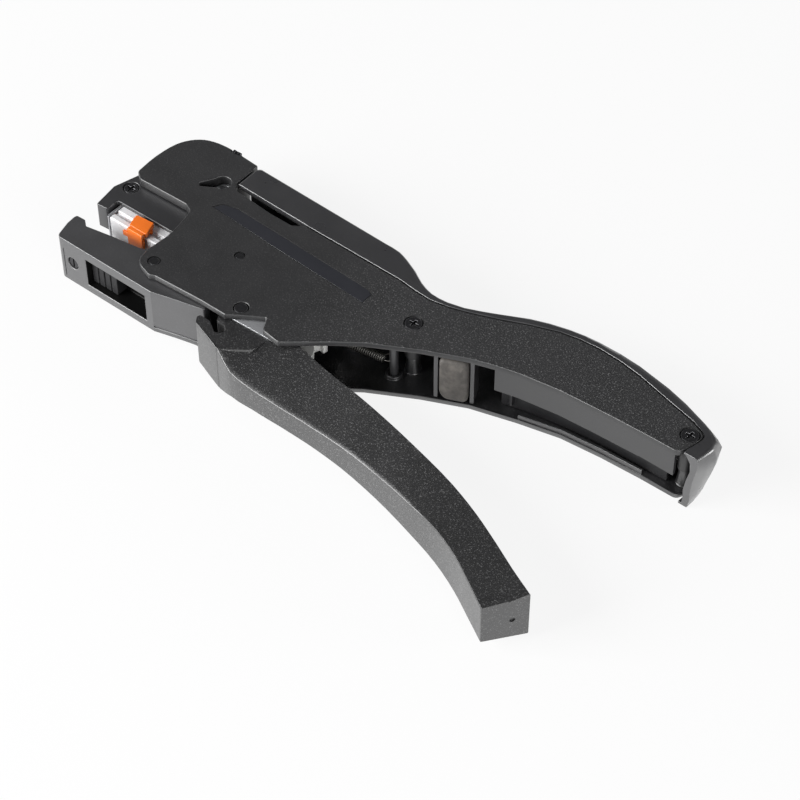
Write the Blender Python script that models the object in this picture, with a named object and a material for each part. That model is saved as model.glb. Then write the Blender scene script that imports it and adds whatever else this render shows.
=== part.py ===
"""Ferrule crimping tool that cuts, strips and crimps, modelled as its separate pieces.

The tool lies on its flat side. Lengths are metres and +Z is up. The origin is where the main pivot's
axis meets the resting face. +X runs towards the handle ends, -X towards the jaws, +Y towards the back.
Places in plan are shares of four plan sizes, so that every piece follows the same outline.
"""

import math

import bmesh
import bpy
from mathutils import Matrix, Vector

# Plan sizes, all measured from the main pivot
HEAD_LENGTH = 0.070
GRIP_LENGTH = 0.140
BACK_WIDTH = 0.056
GRIP_SPREAD = 0.044

# Heights and walls
BODY_DEPTH = 0.022
COVER_WALL = 0.002
LOBE_WALL = 0.0036
SHELL_WALL = 0.002
INNER_WALL = 0.0012
SEAT_GAP = 0.0003
RUN_GAP = 0.0004
OVERRUN = 0.004

# Fillets, chamfers and the fineness of arcs
CRISP = 0.0006
SOFT = 0.002
ROUND = 0.006
FLOWING = 0.060
EDGE_CHAMFER = 0.0004
SHELL_EDGE = 0.0009
SHELL_BULGE = 0.0020
END_BULGE = 0.0036
ARC_STEP = math.radians(13)
FLOW_STEP = math.radians(8)
SMALL_ARC_STEP = math.radians(31)
CIRCLE_SIDES = 20
SMALL_CIRCLE_SIDES = 14

# Pins and screws
HANDLE_PIN_RADIUS = 0.0022
JAW_PIN_RADIUS = 0.0018
DOWEL_RADIUS = 0.0011
DOWEL_HEAD_RADIUS = 0.00145
DOWEL_HEAD_DEPTH = 0.0012
PIN_SINK = 0.0002
PIN_SEAT = 0.0012
SCREW_HEAD_RADIUS = 0.0028
SCREW_HEAD_DEPTH = 0.0016
SCREW_SHANK_RADIUS = 0.0013
SCREW_TIP_COVER = 0.0055
SCREW_BOSS_RADIUS = 0.0026
BOSS_FOOT_RADIUS = 0.0020
BOSS_JOINT_DROP = 0.0027
RECESS_SPAN = 0.0030
RECESS_WIDTH = 0.0007
RECESS_DEPTH = 0.0010

# Jaws
JAW_SCREW_RADIUS = 0.0024
JAW_SCREW_DEPTH = 0.0100
BLADE_THICKNESS = 0.0007
BLADE_EDGE = 0.0016
WINDOW_SILL = 0.0004
WINDOW_LINTEL = 0.0007
WINDOW_DEPTH = 0.0064
ECCENTRIC_RADIUS = 0.0019
ECCENTRIC_DEPTH = 0.0030
SLOT_WIDTH = 0.0006
HOOK_WALL_DROP = 0.0018
CLAMP_INSET = 0.0017
CLAMP_FOOT = 0.0023
GROOVE_HEIGHT = 0.0006
GROOVE_DEPTH = 0.0004
GROOVE_LEVEL = 0.0043
PARTING_WIDTH = 0.0003
PARTING_LOW = 0.0040
PARTING_STOP = 0.0005

# Length stop
STOP_RISE = 0.0022
STOP_REACH = 0.0051
STOP_SHELF_DROP = 0.0005
STOP_LEG = 0.0013
STOP_RIB = 0.0010
STOP_RIB_DEPTH = 0.0006

# Crimping drive
PLUNGER_HEIGHT = 0.0060
PLUNGER_WIDTH = 0.0056
LINK_HEIGHT = 0.0030
LINK_WIDTH = 0.0036
LINK_EYE_RADIUS = 0.0030
LINK_FLOAT = 0.0005
DRIVE_PIN_RADIUS = 0.0014
DRIVE_PLATE = 0.0012
PORT_RADIUS = 0.0030
FUNNEL_WALL = 0.0008
ANVIL_LENGTH = 0.0058
GROOVE_HALF = 0.0012

# Moving handle
GRIP_EDGE = 0.0004
OUTER_DROP = 0.0043
SMOOTH_SINK = 0.0003
CAM_DROP = 0.0031
CAM_HEIGHT = 0.0030
DIMPLE_RADIUS = 0.0009
SPRING_POCKET_RADIUS = 0.0048
SPRING_POCKET_HEIGHT = 0.0080
OPENING_COIL_RADIUS = 0.0038
OPENING_WIRE_RADIUS = 0.0004

# Feed lever, its spring and the strip guide
LEVER_HEIGHT = 0.0030
LEVER_DROP = 0.0013
LEVER_PIN_RADIUS = 0.0016
PEG_RADIUS = 0.0008
POST_RADIUS = 0.0014
SPRING_DROP = 0.0018
SPRING_COIL_RADIUS = 0.0012
SPRING_WIRE_RADIUS = 0.00022
SPRING_HOOK_LENGTH = 0.0015
GUIDE_DROP = 0.0007
GUIDE_WALL = 0.0010

# Fixed handle
RIM_HEIGHT = 0.0016
RIM_WIDTH = 0.0010
PAD_WIDTH = 0.0092
PAD_DEPTH = 0.0062
PAD_PROUD = 0.0008
PAD_CORNER = 0.0012
HOLDER_WALL = 0.0013
RIB_DEPTH = 0.0017
RIB_WALL = 0.0009
LABEL_DEPTH = 0.0002
CLIP_LENGTH = 0.0032
CLIP_WIDTH = 0.0016
CLIP_DEPTH = 0.0030

# Levels that follow from the sizes above
MIDDLE = BODY_DEPTH / 2
COVER_UNDERSIDE = BODY_DEPTH - COVER_WALL
HEAD_LOW = LOBE_WALL
HEAD_HIGH = BODY_DEPTH - LOBE_WALL
MOVER_LOW = COVER_WALL + RUN_GAP
MOVER_HIGH = BODY_DEPTH - MOVER_LOW
CORE_LOW = COVER_WALL + SEAT_GAP
CORE_HIGH = BODY_DEPTH - CORE_LOW
SCREW_LENGTH = BODY_DEPTH - SCREW_TIP_COVER
BOSS_JOINT_HEIGHT = MIDDLE - BOSS_JOINT_DROP
CLAMP_LOW, CLAMP_HIGH = HEAD_LOW + CLAMP_FOOT, HEAD_HIGH - CLAMP_INSET
HOOK_WALL_LOW = MIDDLE - HOOK_WALL_DROP
WINDOW_LOW, WINDOW_HIGH = CLAMP_LOW - WINDOW_SILL, CLAMP_HIGH - WINDOW_LINTEL
PARTING_HIGH = WINDOW_HIGH - PARTING_STOP
STOP_LOW, STOP_HIGH = CLAMP_HIGH - STOP_REACH, CLAMP_HIGH + STOP_RISE
STOP_SHELF = CLAMP_HIGH - STOP_SHELF_DROP
PLUNGER_LOW, PLUNGER_HIGH = MIDDLE - PLUNGER_HEIGHT / 2, MIDDLE + PLUNGER_HEIGHT / 2
LINK_LOW, LINK_HIGH = MIDDLE - LINK_HEIGHT / 2, MIDDLE + LINK_HEIGHT / 2
SPRING_POCKET_LOW = MIDDLE - SPRING_POCKET_HEIGHT / 2
SPRING_POCKET_HIGH = MIDDLE + SPRING_POCKET_HEIGHT / 2
CAM_HIGH = MOVER_HIGH - CAM_DROP
CAM_LOW = CAM_HIGH - CAM_HEIGHT
LEVER_HIGH = CAM_LOW - LEVER_DROP
LEVER_LOW = LEVER_HIGH - LEVER_HEIGHT
SPRING_LEVEL = LEVER_LOW - SPRING_DROP
GUIDE_HIGH = LEVER_LOW - GUIDE_DROP

# Places, as shares of the plan sizes
HANDLE_PIVOT_SHARE = (0, 0)
JAW_PIVOT_SHARE = (-0.487, -0.034)
DOWEL_SHARE = (-0.219, 0.298)
HANDLE_SCREW_SHARE = (0.315, 0.491)
END_SCREW_SHARE = (0.954, 0.750)
JAW_SCREW_SHARE = (-0.931, 0.375)
CLIP_SHARE = (-0.683, 0.926)
PORT_SHARE = (-0.594, 0.679)
PORT_TIP_SHARE = (-0.669, 0.590)
DRIVE_PIN_SHARE = (0.014, 0.232)
PLUNGER_PIN_SHARE = (-0.386, 0.643)
PLUNGER_TIP_SHARE = -0.546
LEVER_PIN_SHARE = (0.143, 0.482)
LEVER_PEG_SHARE = (0.159, 0.339)
SPRING_POST_SHARE = (0.293, 0.393)
ECCENTRIC_SHARE = (-0.874, -0.236)
PAD_START_SHARE = (0.411, 0.400)
PAD_END_SHARE = (0.473, 0.471)
WALL_RIB_SHARE = 0.560
RIM_SHARES = (0.535, 0.945)
SKIRT_SHARES = (0.515, 0.957)

# Outlines: along, across, fillet
THIN_COVER_SHARES = (
    (-1.100, -1.000, 0), (1.100, -1.000, 0), (1.100, 1.100, 0), (-0.541, 1.100, 0),
    (-0.541, 0.400, 0), (-1.100, 0.400, 0),
)
LOBE_SHARES = (
    (-0.581, 0.393, SOFT), (-0.626, 0.421, SOFT), (-0.899, 0.413, SOFT), (-0.944, 0.454, SOFT),
    (-0.951, 0.559, FLOWING), (-0.948, 0.679, FLOWING), (-0.936, 0.761, FLOWING),
    (-0.903, 0.839, FLOWING), (-0.854, 0.893, FLOWING), (-0.783, 0.922, FLOWING),
    (-0.693, 0.927, FLOWING), (-0.544, 0.914, CRISP),
)
STRIP_SLOT_SHARES = (
    (-0.541, 0.730, CRISP), (-0.514, 0.684, SOFT), (-0.296, 0.661, FLOWING),
    (-0.171, 0.661, SOFT), (-0.121, 0.705, CRISP),
)
SEAM_SHARES = (
    (0.068, 0.704, FLOWING), (0.210, 0.698, FLOWING), (0.299, 0.679, FLOWING),
    (0.389, 0.737, FLOWING), (0.451, 0.798, FLOWING), (0.572, 0.923, FLOWING),
    (0.668, 0.955, FLOWING), (0.779, 0.927, FLOWING), (0.869, 0.873, FLOWING),
    (0.936, 0.836, FLOWING), (0.966, 0.808, SOFT),
)
COVER_END_SHARES = ((0.981, 0.782, SOFT), (0.975, 0.700, SOFT))
TOP_EDGE_SHARES = (
    (0.961, 0.616, SOFT), (0.869, 0.611, FLOWING), (0.771, 0.600, FLOWING),
    (0.674, 0.584, FLOWING),
)
BOTTOM_EDGE_SHARES = (
    (0.962, 0.643, SOFT), (0.874, 0.640, FLOWING), (0.775, 0.629, FLOWING),
    (0.677, 0.606, FLOWING),
)
INNER_EDGE_SHARES = (
    (0.579, 0.548, FLOWING), (0.473, 0.471, FLOWING), (0.375, 0.357, FLOWING),
    (0.269, 0.209, FLOWING), (0.213, 0.105, FLOWING), (0.128, -0.088, SOFT),
)
NOTCH_SHARES = (
    (0.079, -0.068, SOFT), (0.062, 0.032, CRISP), (0.024, -0.036, FLOWING),
    (-0.029, -0.117, CRISP),
)
HEAD_EDGE_SHARES = (
    (-0.169, -0.118, CRISP), (-0.421, -0.139, CRISP), (-0.450, -0.157, SOFT),
    (-0.547, -0.111, ROUND), (-0.561, 0.020, SOFT), (-0.551, 0.173, FLOWING),
)
SHELL_OUTER_SHARES = (
    (-0.536, 0.632, SOFT), (-0.536, 0.910, SOFT), (-0.221, 0.901, FLOWING),
    (0.111, 0.881, FLOWING), (0.155, 0.876, FLOWING), (0.186, 0.849, FLOWING),
    (0.218, 0.813, FLOWING), (0.253, 0.763, FLOWING), (0.290, 0.733, FLOWING),
    (0.332, 0.736, FLOWING), (0.440, 0.843, FLOWING), (0.497, 0.918, FLOWING),
    (0.583, 0.992, FLOWING), (0.656, 1.022, FLOWING), (0.763, 1.023, FLOWING),
    (0.851, 0.989, FLOWING), (0.951, 0.914, FLOWING), (1.003, 0.850, FLOWING),
    (1.020, 0.750, FLOWING), (1.021, 0.630, FLOWING), (1.017, 0.430, ROUND),
)
SHELL_HOLLOW_SHARES = (
    (-0.700, 0.300, 0), (1.100, 0.300, 0), (1.100, 0.632, 0), (0.971, 0.632, 0),
    (0.973, 0.720, CRISP), (0.900, 0.740, 0),
    (0.600, 0.800, 0), (0.299, 0.600, 0), (0.068, 0.690, 0), (-0.121, 0.712, 0),
    (-0.700, 0.735, 0),
)
END_HOLLOW_SHARES = ((0.930, 0.500), (0.973, 0.710))
MAGAZINE_SHARES = ((-0.600, 0.640, 0), (0.189, 0.640, 0), (0.189, 0.827, 0), (-0.600, 0.827, 0))
STRIP_GUIDE_SHARES = ((-0.514, 0.734), (0.184, 0.820))
LOWER_JAW_SHARES = (
    (-0.956, -0.236, SOFT), (-0.980, -0.095, CRISP), (-0.984, -0.020, CRISP),
    (-0.979, 0.004, CRISP), (-0.933, 0.007, CRISP), (-0.901, -0.034, CRISP),
    (-0.777, 0.002, FLOWING), (-0.619, 0.032, SOFT), (-0.551, 0.064, ROUND),
    (-0.417, 0.043, ROUND), (-0.286, -0.018, FLOWING), (-0.150, -0.064, CRISP),
    (-0.137, -0.134, CRISP), (-0.174, -0.150, FLOWING), (-0.283, -0.191, FLOWING),
    (-0.393, -0.239, CRISP),
)
JAW_WINDOW_SHARES = (-0.789, -0.434)
LOWER_CLAMP_SHARES = (-0.785, -0.636)
LOWER_BLADE_SHARE = (-0.871, -0.009)
UPPER_JAW_SHARES = (
    (-0.966, 0.477, CRISP), (-1.000, 0.325, CRISP), (-0.980, 0.157, CRISP),
    (-0.919, 0.163, CRISP), (-0.919, 0.250, CRISP), (-0.566, 0.253, CRISP),
    (-0.566, 0.886, SOFT), (-0.729, 0.900, FLOWING), (-0.809, 0.893, FLOWING),
    (-0.857, 0.857, FLOWING), (-0.904, 0.768, FLOWING), (-0.920, 0.696, FLOWING),
    (-0.931, 0.554, FLOWING),
)
CLAMP_SHARES = (
    (-0.894, 0.143, CRISP), (-0.586, 0.143, CRISP), (-0.586, 0.361, CRISP), (-0.894, 0.361, CRISP),
)
STOP_TOP_SHARES = (
    (-0.786, 0.226, CRISP), (-0.765, 0.140, CRISP), (-0.660, 0.140, CRISP),
    (-0.675, 0.186, CRISP), (-0.686, 0.236, CRISP),
)
STOP_LEG_SHARES = (-0.760, -0.672)
STOP_BAR_SHARES = (-0.793, -0.668)
DRIVE_PLATE_SHARES = (
    (-0.064, -0.080, SOFT), (0.107, -0.066, SOFT), (0.136, 0.014, ROUND), (0.121, 0.068, SOFT),
    (0.060, 0.110, ROUND), (0.040, 0.214, FLOWING), (0.030, 0.287, SOFT), (-0.010, 0.287, SOFT),
    (-0.026, 0.223, FLOWING), (-0.079, 0.071, ROUND),
)
NOSE_SHARES = (
    (-0.139, -0.205, CRISP), (-0.119, -0.257, SOFT), (0.000, -0.327, FLOWING),
    (0.031, -0.361, SOFT), (0.090, -0.220, SOFT), (0.100, 0.054, SOFT), (0.038, 0.110, ROUND),
    (-0.060, 0.100, ROUND), (-0.090, -0.040, ROUND), (-0.058, -0.150, CRISP),
    (-0.012, -0.152, SOFT), (0.008, -0.186, SOFT), (0.006, -0.226, SOFT),
    (-0.019, -0.245, CRISP), (-0.076, -0.186, SOFT), (-0.130, -0.182, CRISP),
)
SMOOTH_PATCH_SHARES = (
    (-0.145, -0.240, 0), (0.029, -0.352, SOFT), (0.080, -0.200, SOFT), (0.140, -0.060, SOFT),
    (0.165, 0.120, 0), (-0.145, 0.160, 0),
)
GRIP_INNER_SHARES = (
    (0.100, 0.054), (0.149, 0.021), (0.201, -0.011), (0.271, -0.052), (0.343, -0.082),
    (0.429, -0.132), (0.537, -0.209), (0.653, -0.307), (0.736, -0.405), (0.811, -0.514),
    (0.875, -0.614), (0.942, -0.709),
)
GRIP_OUTER_SHARES = (
    (0.031, -0.361), (0.081, -0.418), (0.146, -0.434), (0.229, -0.436), (0.307, -0.439),
    (0.393, -0.455), (0.502, -0.507), (0.614, -0.586), (0.693, -0.655), (0.768, -0.757),
    (0.829, -0.868), (0.886, -0.975),
)
CAM_SHARES = (
    (0.121, 0.036, CRISP), (0.188, 0.021, CRISP), (0.179, 0.071, CRISP), (0.169, 0.100, CRISP),
    (0.174, 0.132, CRISP), (0.187, 0.123, CRISP), (0.189, 0.157, CRISP), (0.164, 0.179, SOFT),
    (0.132, 0.152, SOFT),
)
LEVER_SHARES = (
    (0.159, 0.310, CRISP), (0.172, 0.345, SOFT), (0.169, 0.470, ROUND), (0.152, 0.600, FLOWING),
    (0.142, 0.760, CRISP), (0.114, 0.776, CRISP), (0.112, 0.755, CRISP), (0.126, 0.735, CRISP),
    (0.122, 0.600, FLOWING), (0.116, 0.470, ROUND), (0.146, 0.345, SOFT),
)
INNER_WALL_SHARES = (
    (0.525, 0.588), (0.575, 0.618), (0.679, 0.662), (0.766, 0.681), (0.857, 0.684), (0.925, 0.687),
)
LABEL_SHARES = (
    (-0.523, 0.495, 0), (-0.499, 0.550, 0), (-0.426, 0.575, SOFT), (0.180, 0.536, 0),
    (0.193, 0.520, 0), (0.193, 0.434, 0), (-0.100, 0.460, FLOWING),
)
DOME_SHARES = ((0.015, 0), (0.45, 0.42), (0.72, 0.69), (0.91, 0.87))
GRIP_FALL_SHARES = (0, 0.75, 0.95, 1, 0.98, 0.88, 0.72, 0.47, 0.26, 0.17, 0.22, 0.30)
SHELL_RIM = ((1, 0.88, 0), (0.3, 0.85, 0.025), (0, 0.79, 0.08), (0, 0.45, 0.33), (0, 0.15, 0.61),
             (0, 0, 1))
BULGE_START_SHARE = 0.3
CAP_START_SHARE = 0.96
BULGE_END_SHARE = 0.93


def spot(share):
    """A place in plan from its shares of the four plan sizes."""
    along, across = share[0], share[1]
    reach = GRIP_LENGTH if along > 0 else HEAD_LENGTH
    width = BACK_WIDTH if across > 0 else GRIP_SPREAD
    return Vector((along * reach, across * width))


def filleted(corners):
    """Turns (place, fillet) corners into a ring of points, each fillet limited by its sides."""
    ring = []
    for index, (place, fillet) in enumerate(corners):
        before = corners[index - 1][0] - place
        after = corners[(index + 1) % len(corners)][0] - place
        turn = math.pi - before.angle(after)
        reach = min(fillet * math.tan(turn / 2), before.length / 2, after.length / 2)
        if reach <= 0 or turn < ARC_STEP / 4:
            ring.append(place)
            continue
        start = place + before.normalized() * reach
        end = place + after.normalized() * reach
        steps = math.ceil(turn / (ARC_STEP if fillet > CRISP else SMALL_ARC_STEP))
        ring.extend(arc_between(start, place, end, steps))
    return without_repeats(ring)


def arc_between(start, corner, end, steps):
    """Points of the circular arc that touches both sides of a corner."""
    half = (start - corner).angle(end - corner) / 2
    radius = (start - corner).length * math.tan(half)
    middle = corner + ((start - corner) + (end - corner)).normalized() * (radius / math.sin(half))
    first = start - middle
    turn = first.angle_signed(end - middle)
    points = []
    for step in range(steps + 1):
        angle = -turn * step / steps
        points.append(middle + Matrix.Rotation(angle, 2) @ first)
    return points


def without_repeats(ring):
    """The ring with points that fall together taken once."""
    kept = []
    for point in ring:
        if not kept or (point - kept[-1]).length > SEAT_GAP / 10:
            kept.append(point)
    if (kept[0] - kept[-1]).length < SEAT_GAP / 10:
        kept.pop()
    return kept


def outline(*tables):
    """One closed ring from tables of (along share, across share, fillet).

    Corners get their fillet. FLOWING rows are points of a smooth curve that runs through them.
    """
    rows = [row for table in tables for row in table]
    knots = [spot(row) for row in rows]
    corners = []
    for index, row in enumerate(rows):
        after = (index + 1) % len(rows)
        start, end = knots[index], knots[after]
        corners.append((start, 0 if row[2] == FLOWING else row[2]))
        leave = tangent(knots, index) if row[2] == FLOWING else (end - start).normalized()
        arrive = tangent(knots, after) if rows[after][2] == FLOWING else (end - start).normalized()
        steps = math.ceil((leave.angle(end - start) + arrive.angle(end - start)) / FLOW_STEP)
        corners.extend((spline_point(start, end, leave, arrive, step / steps), 0)
                       for step in range(1, steps))
    return filleted(corners)


def tangent(knots, index):
    """The direction of the smooth curve where it passes a knot of a closed ring."""
    back = knots[index] - knots[index - 1]
    ahead = knots[(index + 1) % len(knots)] - knots[index]
    return (back.normalized() / back.length + ahead.normalized() / ahead.length).normalized()


def open_line(table, bends=2):
    """A smooth open line through a table of shares, with some points added between each two."""
    knots = [spot(row) for row in table]
    ends = [(knots[1] - knots[0]).normalized(), (knots[-1] - knots[-2]).normalized()]
    ways = [ends[0]] + [tangent(knots, index) for index in range(1, len(knots) - 1)] + [ends[1]]
    line = []
    for index in range(len(knots) - 1):
        line.extend(spline_point(knots[index], knots[index + 1], ways[index], ways[index + 1],
                                 step / bends) for step in range(bends))
    return line + [knots[-1]]


def spline_point(start, end, leave, arrive, part):
    """A point of the curve from start to end that leaves and arrives in the given directions."""
    reach = (end - start).length
    leave, arrive = leave * reach, arrive * reach
    square, cube = part * part, part ** 3
    return (
        start * (2 * cube - 3 * square + 1)
        + leave * (cube - 2 * square + part)
        + end * (3 * square - 2 * cube)
        + arrive * (cube - square)
    )


def circle(centre, radius, sides=CIRCLE_SIDES):
    """A ring of points round a centre in plan."""
    turns = [math.tau * side / sides for side in range(sides)]
    return [centre + Vector((math.cos(turn), math.sin(turn))) * radius for turn in turns]


def rectangle(low, high):
    """The four corners of a plain rectangle in plan."""
    return [Vector(low), Vector((high[0], low[1])), Vector(high), Vector((low[0], high[1]))]


def area(ring):
    """Signed area of a ring, positive when it runs counter-clockwise."""
    pairs = zip(ring, ring[1:] + ring[:1])
    return sum(a.x * b.y - b.x * a.y for a, b in pairs) / 2


def shrunk(ring, amount):
    """The ring moved inwards by an amount, or outwards if it is negative.

    The amount may also be a list with one amount for each point.
    """
    amounts = amount if isinstance(amount, list) else [amount] * len(ring)
    side = 1 if area(ring) > 0 else -1
    moved = []
    for index, point in enumerate(ring):
        back = (point - ring[index - 1]).normalized()
        ahead = (ring[(index + 1) % len(ring)] - point).normalized()
        normal = Vector((-back.y - ahead.y, back.x + ahead.x)) * side
        normal.normalize()
        lean = max(normal.dot(Vector((-back.y, back.x)) * side), 0.5)
        moved.append(point + normal * (amounts[index] / lean))
    return moved


def new_object(name, mesh_builder):
    """A scene object whose mesh is made by the given bmesh function."""
    mesh = bpy.data.meshes.new(name)
    work = bmesh.new()
    mesh_builder(work)
    bmesh.ops.recalc_face_normals(work, faces=work.faces)
    work.to_mesh(mesh)
    work.free()
    piece = bpy.data.objects.new(name, mesh)
    bpy.context.scene.collection.objects.link(piece)
    return piece


def loft(name, loops):
    """A closed body through loops of equally many 3D points, with a face at each end."""

    def build(work):
        rows = [[work.verts.new(point) for point in loop] for loop in loops]
        for low, high in zip(rows, rows[1:]):
            for index in range(len(low)):
                after = (index + 1) % len(low)
                work.faces.new((low[index], low[after], high[after], high[index]))
        work.faces.new(rows[0])
        work.faces.new(rows[-1])

    return new_object(name, build)


def prism(name, ring, low, high, edge=0):
    """A plan ring raised from low to high, with both rims chamfered if asked."""
    levels = [(ring, low), (ring, high)]
    if edge > 0:
        small = shrunk(ring, edge)
        levels = [(small, low), (ring, low + edge), (ring, high - edge), (small, high)]
    return loft(name, [[point.to_3d() + Vector((0, 0, level)) for point in each]
                       for each, level in levels])


def turned(name, centre, profile, sides=CIRCLE_SIDES):
    """A body turned about an upright axis from (radius, height) pairs, bottom to top."""
    loops = [[point.to_3d() + Vector((0, 0, height)) for point in circle(centre, radius, sides)]
             for radius, height in profile]
    return loft(name, loops)


def block(name, low, high):
    """A plain block between two 3D corners."""
    return prism(name, rectangle(low[:2], high[:2]), low[2], high[2])


def tube(name, path, radius, sides=6):
    """A closed round wire along a path of 3D points."""
    loops = []
    side = None
    for index, point in enumerate(path):
        ahead = path[min(index + 1, len(path) - 1)] - path[max(index - 1, 0)]
        ahead.normalize()
        if side is None:
            side = ahead.orthogonal()
        side = (side - ahead * side.dot(ahead)).normalized()
        other = ahead.cross(side)
        turns = [math.tau * step / sides for step in range(sides)]
        loops.append([point + (side * math.cos(turn) + other * math.sin(turn)) * radius
                      for turn in turns])
    return loft(name, loops)


def combine(body, tool, operation):
    """Applies one exact Boolean to a body and takes the tool out of the scene."""
    change = body.modifiers.new(operation.lower(), "BOOLEAN")
    change.operation = operation
    change.solver = "EXACT"
    change.object = tool
    graph = bpy.context.evaluated_depsgraph_get()
    result = bpy.data.meshes.new_from_object(body.evaluated_get(graph))
    old = body.data
    body.modifiers.clear()
    body.data = result
    result.name = body.name
    bpy.data.meshes.remove(old)
    bpy.data.objects.remove(tool)
    return body


def cut(body, *tools):
    """Takes the tools' shapes out of a body."""
    for tool in tools:
        combine(body, tool, "DIFFERENCE")
    return body


def join(body, *tools):
    """Adds the tools' shapes to a body as one solid."""
    for tool in tools:
        combine(body, tool, "UNION")
    return body


def hole(centre, radius, low, high, sides=CIRCLE_SIDES):
    """A round cutter in plan that runs past both levels."""
    return prism("cutter", circle(centre, radius, sides), low - OVERRUN, high + OVERRUN)


def pocket(centre, radius, low, high, sides=CIRCLE_SIDES):
    """A round cutter in plan that ends at both levels."""
    return prism("cutter", circle(centre, radius, sides), low, high)


def material(name, colour, roughness, metallic=0.0):
    """A Principled material of one colour."""
    made = bpy.data.materials.new(name)
    made.use_nodes = True
    shader = made.node_tree.nodes["Principled BSDF"]
    shader.inputs["Base Color"].default_value = (*colour, 1.0)
    shader.inputs["Roughness"].default_value = roughness
    shader.inputs["Metallic"].default_value = metallic
    return made


def finish(piece, surface, carrier=None):
    """Gives a piece its material and hangs a moving piece on the empty at its joint."""
    piece.data.materials.clear()
    piece.data.materials.append(surface)
    if carrier is not None:
        piece.data.transform(Matrix.Translation(-carrier.location))
        piece.parent = carrier
    piece.data.shade_smooth()
    piece.data.set_sharp_from_angle(angle=ARC_STEP * 2)
    return piece


def joint_empty(name, place):
    """An empty on a joint's axis, which carries the pieces that move there."""
    empty = bpy.data.objects.new(name, None)
    empty.location = place
    empty.empty_display_size = SCREW_LENGTH
    bpy.context.scene.collection.objects.link(empty)
    return empty


def smooth_step(part):
    """A soft rise from zero to one while the part goes from zero to one."""
    part = min(max(part, 0), 1)
    return part * part * (3 - 2 * part)


def between(first, second, part):
    """A place on the straight line between two places."""
    return first + (second - first) * part


# Covers and the back shell

def cover_outline(grip_edge):
    """The outline that both covers share, apart from the edge along the grip."""
    return outline(LOBE_SHARES, STRIP_SLOT_SHARES, SEAM_SHARES, COVER_END_SHARES, grip_edge,
                   INNER_EDGE_SHARES, NOTCH_SHARES, HEAD_EDGE_SHARES)


def cover_plate(name, grip_edge, outer, inner, lobe_inner):
    """A cover between its outer and inner levels, which is thicker over the head's lobe."""
    ring = cover_outline(grip_edge)
    plate = prism(name, ring, min(outer, lobe_inner), max(outer, lobe_inner), EDGE_CHAMFER)
    past = inner + (OVERRUN if inner > outer else -OVERRUN)
    cut(plate, prism("cutter", outline(THIN_COVER_SHARES), min(inner, past), max(inner, past)))
    return plate


def port_cutter(low, high):
    """The keyhole of the crimping port: a round mouth with a tapered tail."""
    centre, tip = spot(PORT_SHARE), spot(PORT_TIP_SHARE)
    away = (tip - centre).normalized()
    side = Vector((-away.y, away.x))
    tail = [centre + side * (PORT_RADIUS * 0.9), centre - side * (PORT_RADIUS * 0.9),
            tip - side * (PORT_RADIUS * 0.25), tip + side * (PORT_RADIUS * 0.25)]
    return join(prism("cutter", circle(centre, PORT_RADIUS), low, high),
                prism("tail", tail, low, high))


def screw_seat(centre, top):
    """The countersink and clearance hole for a cover screw."""
    gap = SEAT_GAP
    return turned("cutter", centre, (
        (SCREW_SHANK_RADIUS + gap, top - SCREW_LENGTH - COVER_WALL),
        (SCREW_SHANK_RADIUS + gap, top - SCREW_HEAD_DEPTH - gap * 2),
        (SCREW_HEAD_RADIUS + gap, top - gap * 2),
        (SCREW_HEAD_RADIUS + gap, top + OVERRUN),
    ))


def make_top_cover(surface):
    """The textured cover with its port, label recess, screw bosses and the skirt of the grip."""
    cover = cover_plate("top_cover", TOP_EDGE_SHARES, BODY_DEPTH, COVER_UNDERSIDE,
                        HEAD_HIGH + SEAT_GAP)
    for share in (HANDLE_SCREW_SHARE, END_SCREW_SHARE):
        join(cover, pocket(spot(share), SCREW_BOSS_RADIUS, BOSS_JOINT_HEIGHT,
                           COVER_UNDERSIDE + COVER_WALL / 2))
    join(cover, edge_rib("skirt", TOP_EDGE_SHARES, SKIRT_SHARES, PIN_SINK, INNER_WALL,
                         (MIDDLE, COVER_UNDERSIDE + COVER_WALL / 2)))
    for share in (HANDLE_SCREW_SHARE, END_SCREW_SHARE):
        cut(cover, screw_seat(spot(share), BODY_DEPTH))
    cut(
        cover,
        hole(spot(HANDLE_PIVOT_SHARE), HANDLE_PIN_RADIUS + SEAT_GAP, COVER_UNDERSIDE, BODY_DEPTH),
        hole(spot(JAW_PIVOT_SHARE), JAW_PIN_RADIUS + SEAT_GAP, COVER_UNDERSIDE, BODY_DEPTH),
        hole(spot(DOWEL_SHARE), DOWEL_HEAD_RADIUS + SEAT_GAP, COVER_UNDERSIDE, BODY_DEPTH),
        port_cutter(HEAD_HIGH - OVERRUN, BODY_DEPTH + OVERRUN),
        prism("cutter", outline(LABEL_SHARES), BODY_DEPTH - LABEL_DEPTH, BODY_DEPTH + OVERRUN),
        clip_seat(),
    )
    return finish(cover, surface)


def clip_seat():
    """The small slot at the lobe's back edge that takes the clip."""
    centre = spot(CLIP_SHARE)
    low = centre - Vector((CLIP_LENGTH / 2 + SEAT_GAP, CLIP_WIDTH / 2 + SEAT_GAP))
    high = centre + Vector((CLIP_LENGTH / 2 + SEAT_GAP, CLIP_WIDTH * 2))
    return prism("cutter", rectangle(low, high), BODY_DEPTH - CLIP_DEPTH, BODY_DEPTH + OVERRUN)


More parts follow.
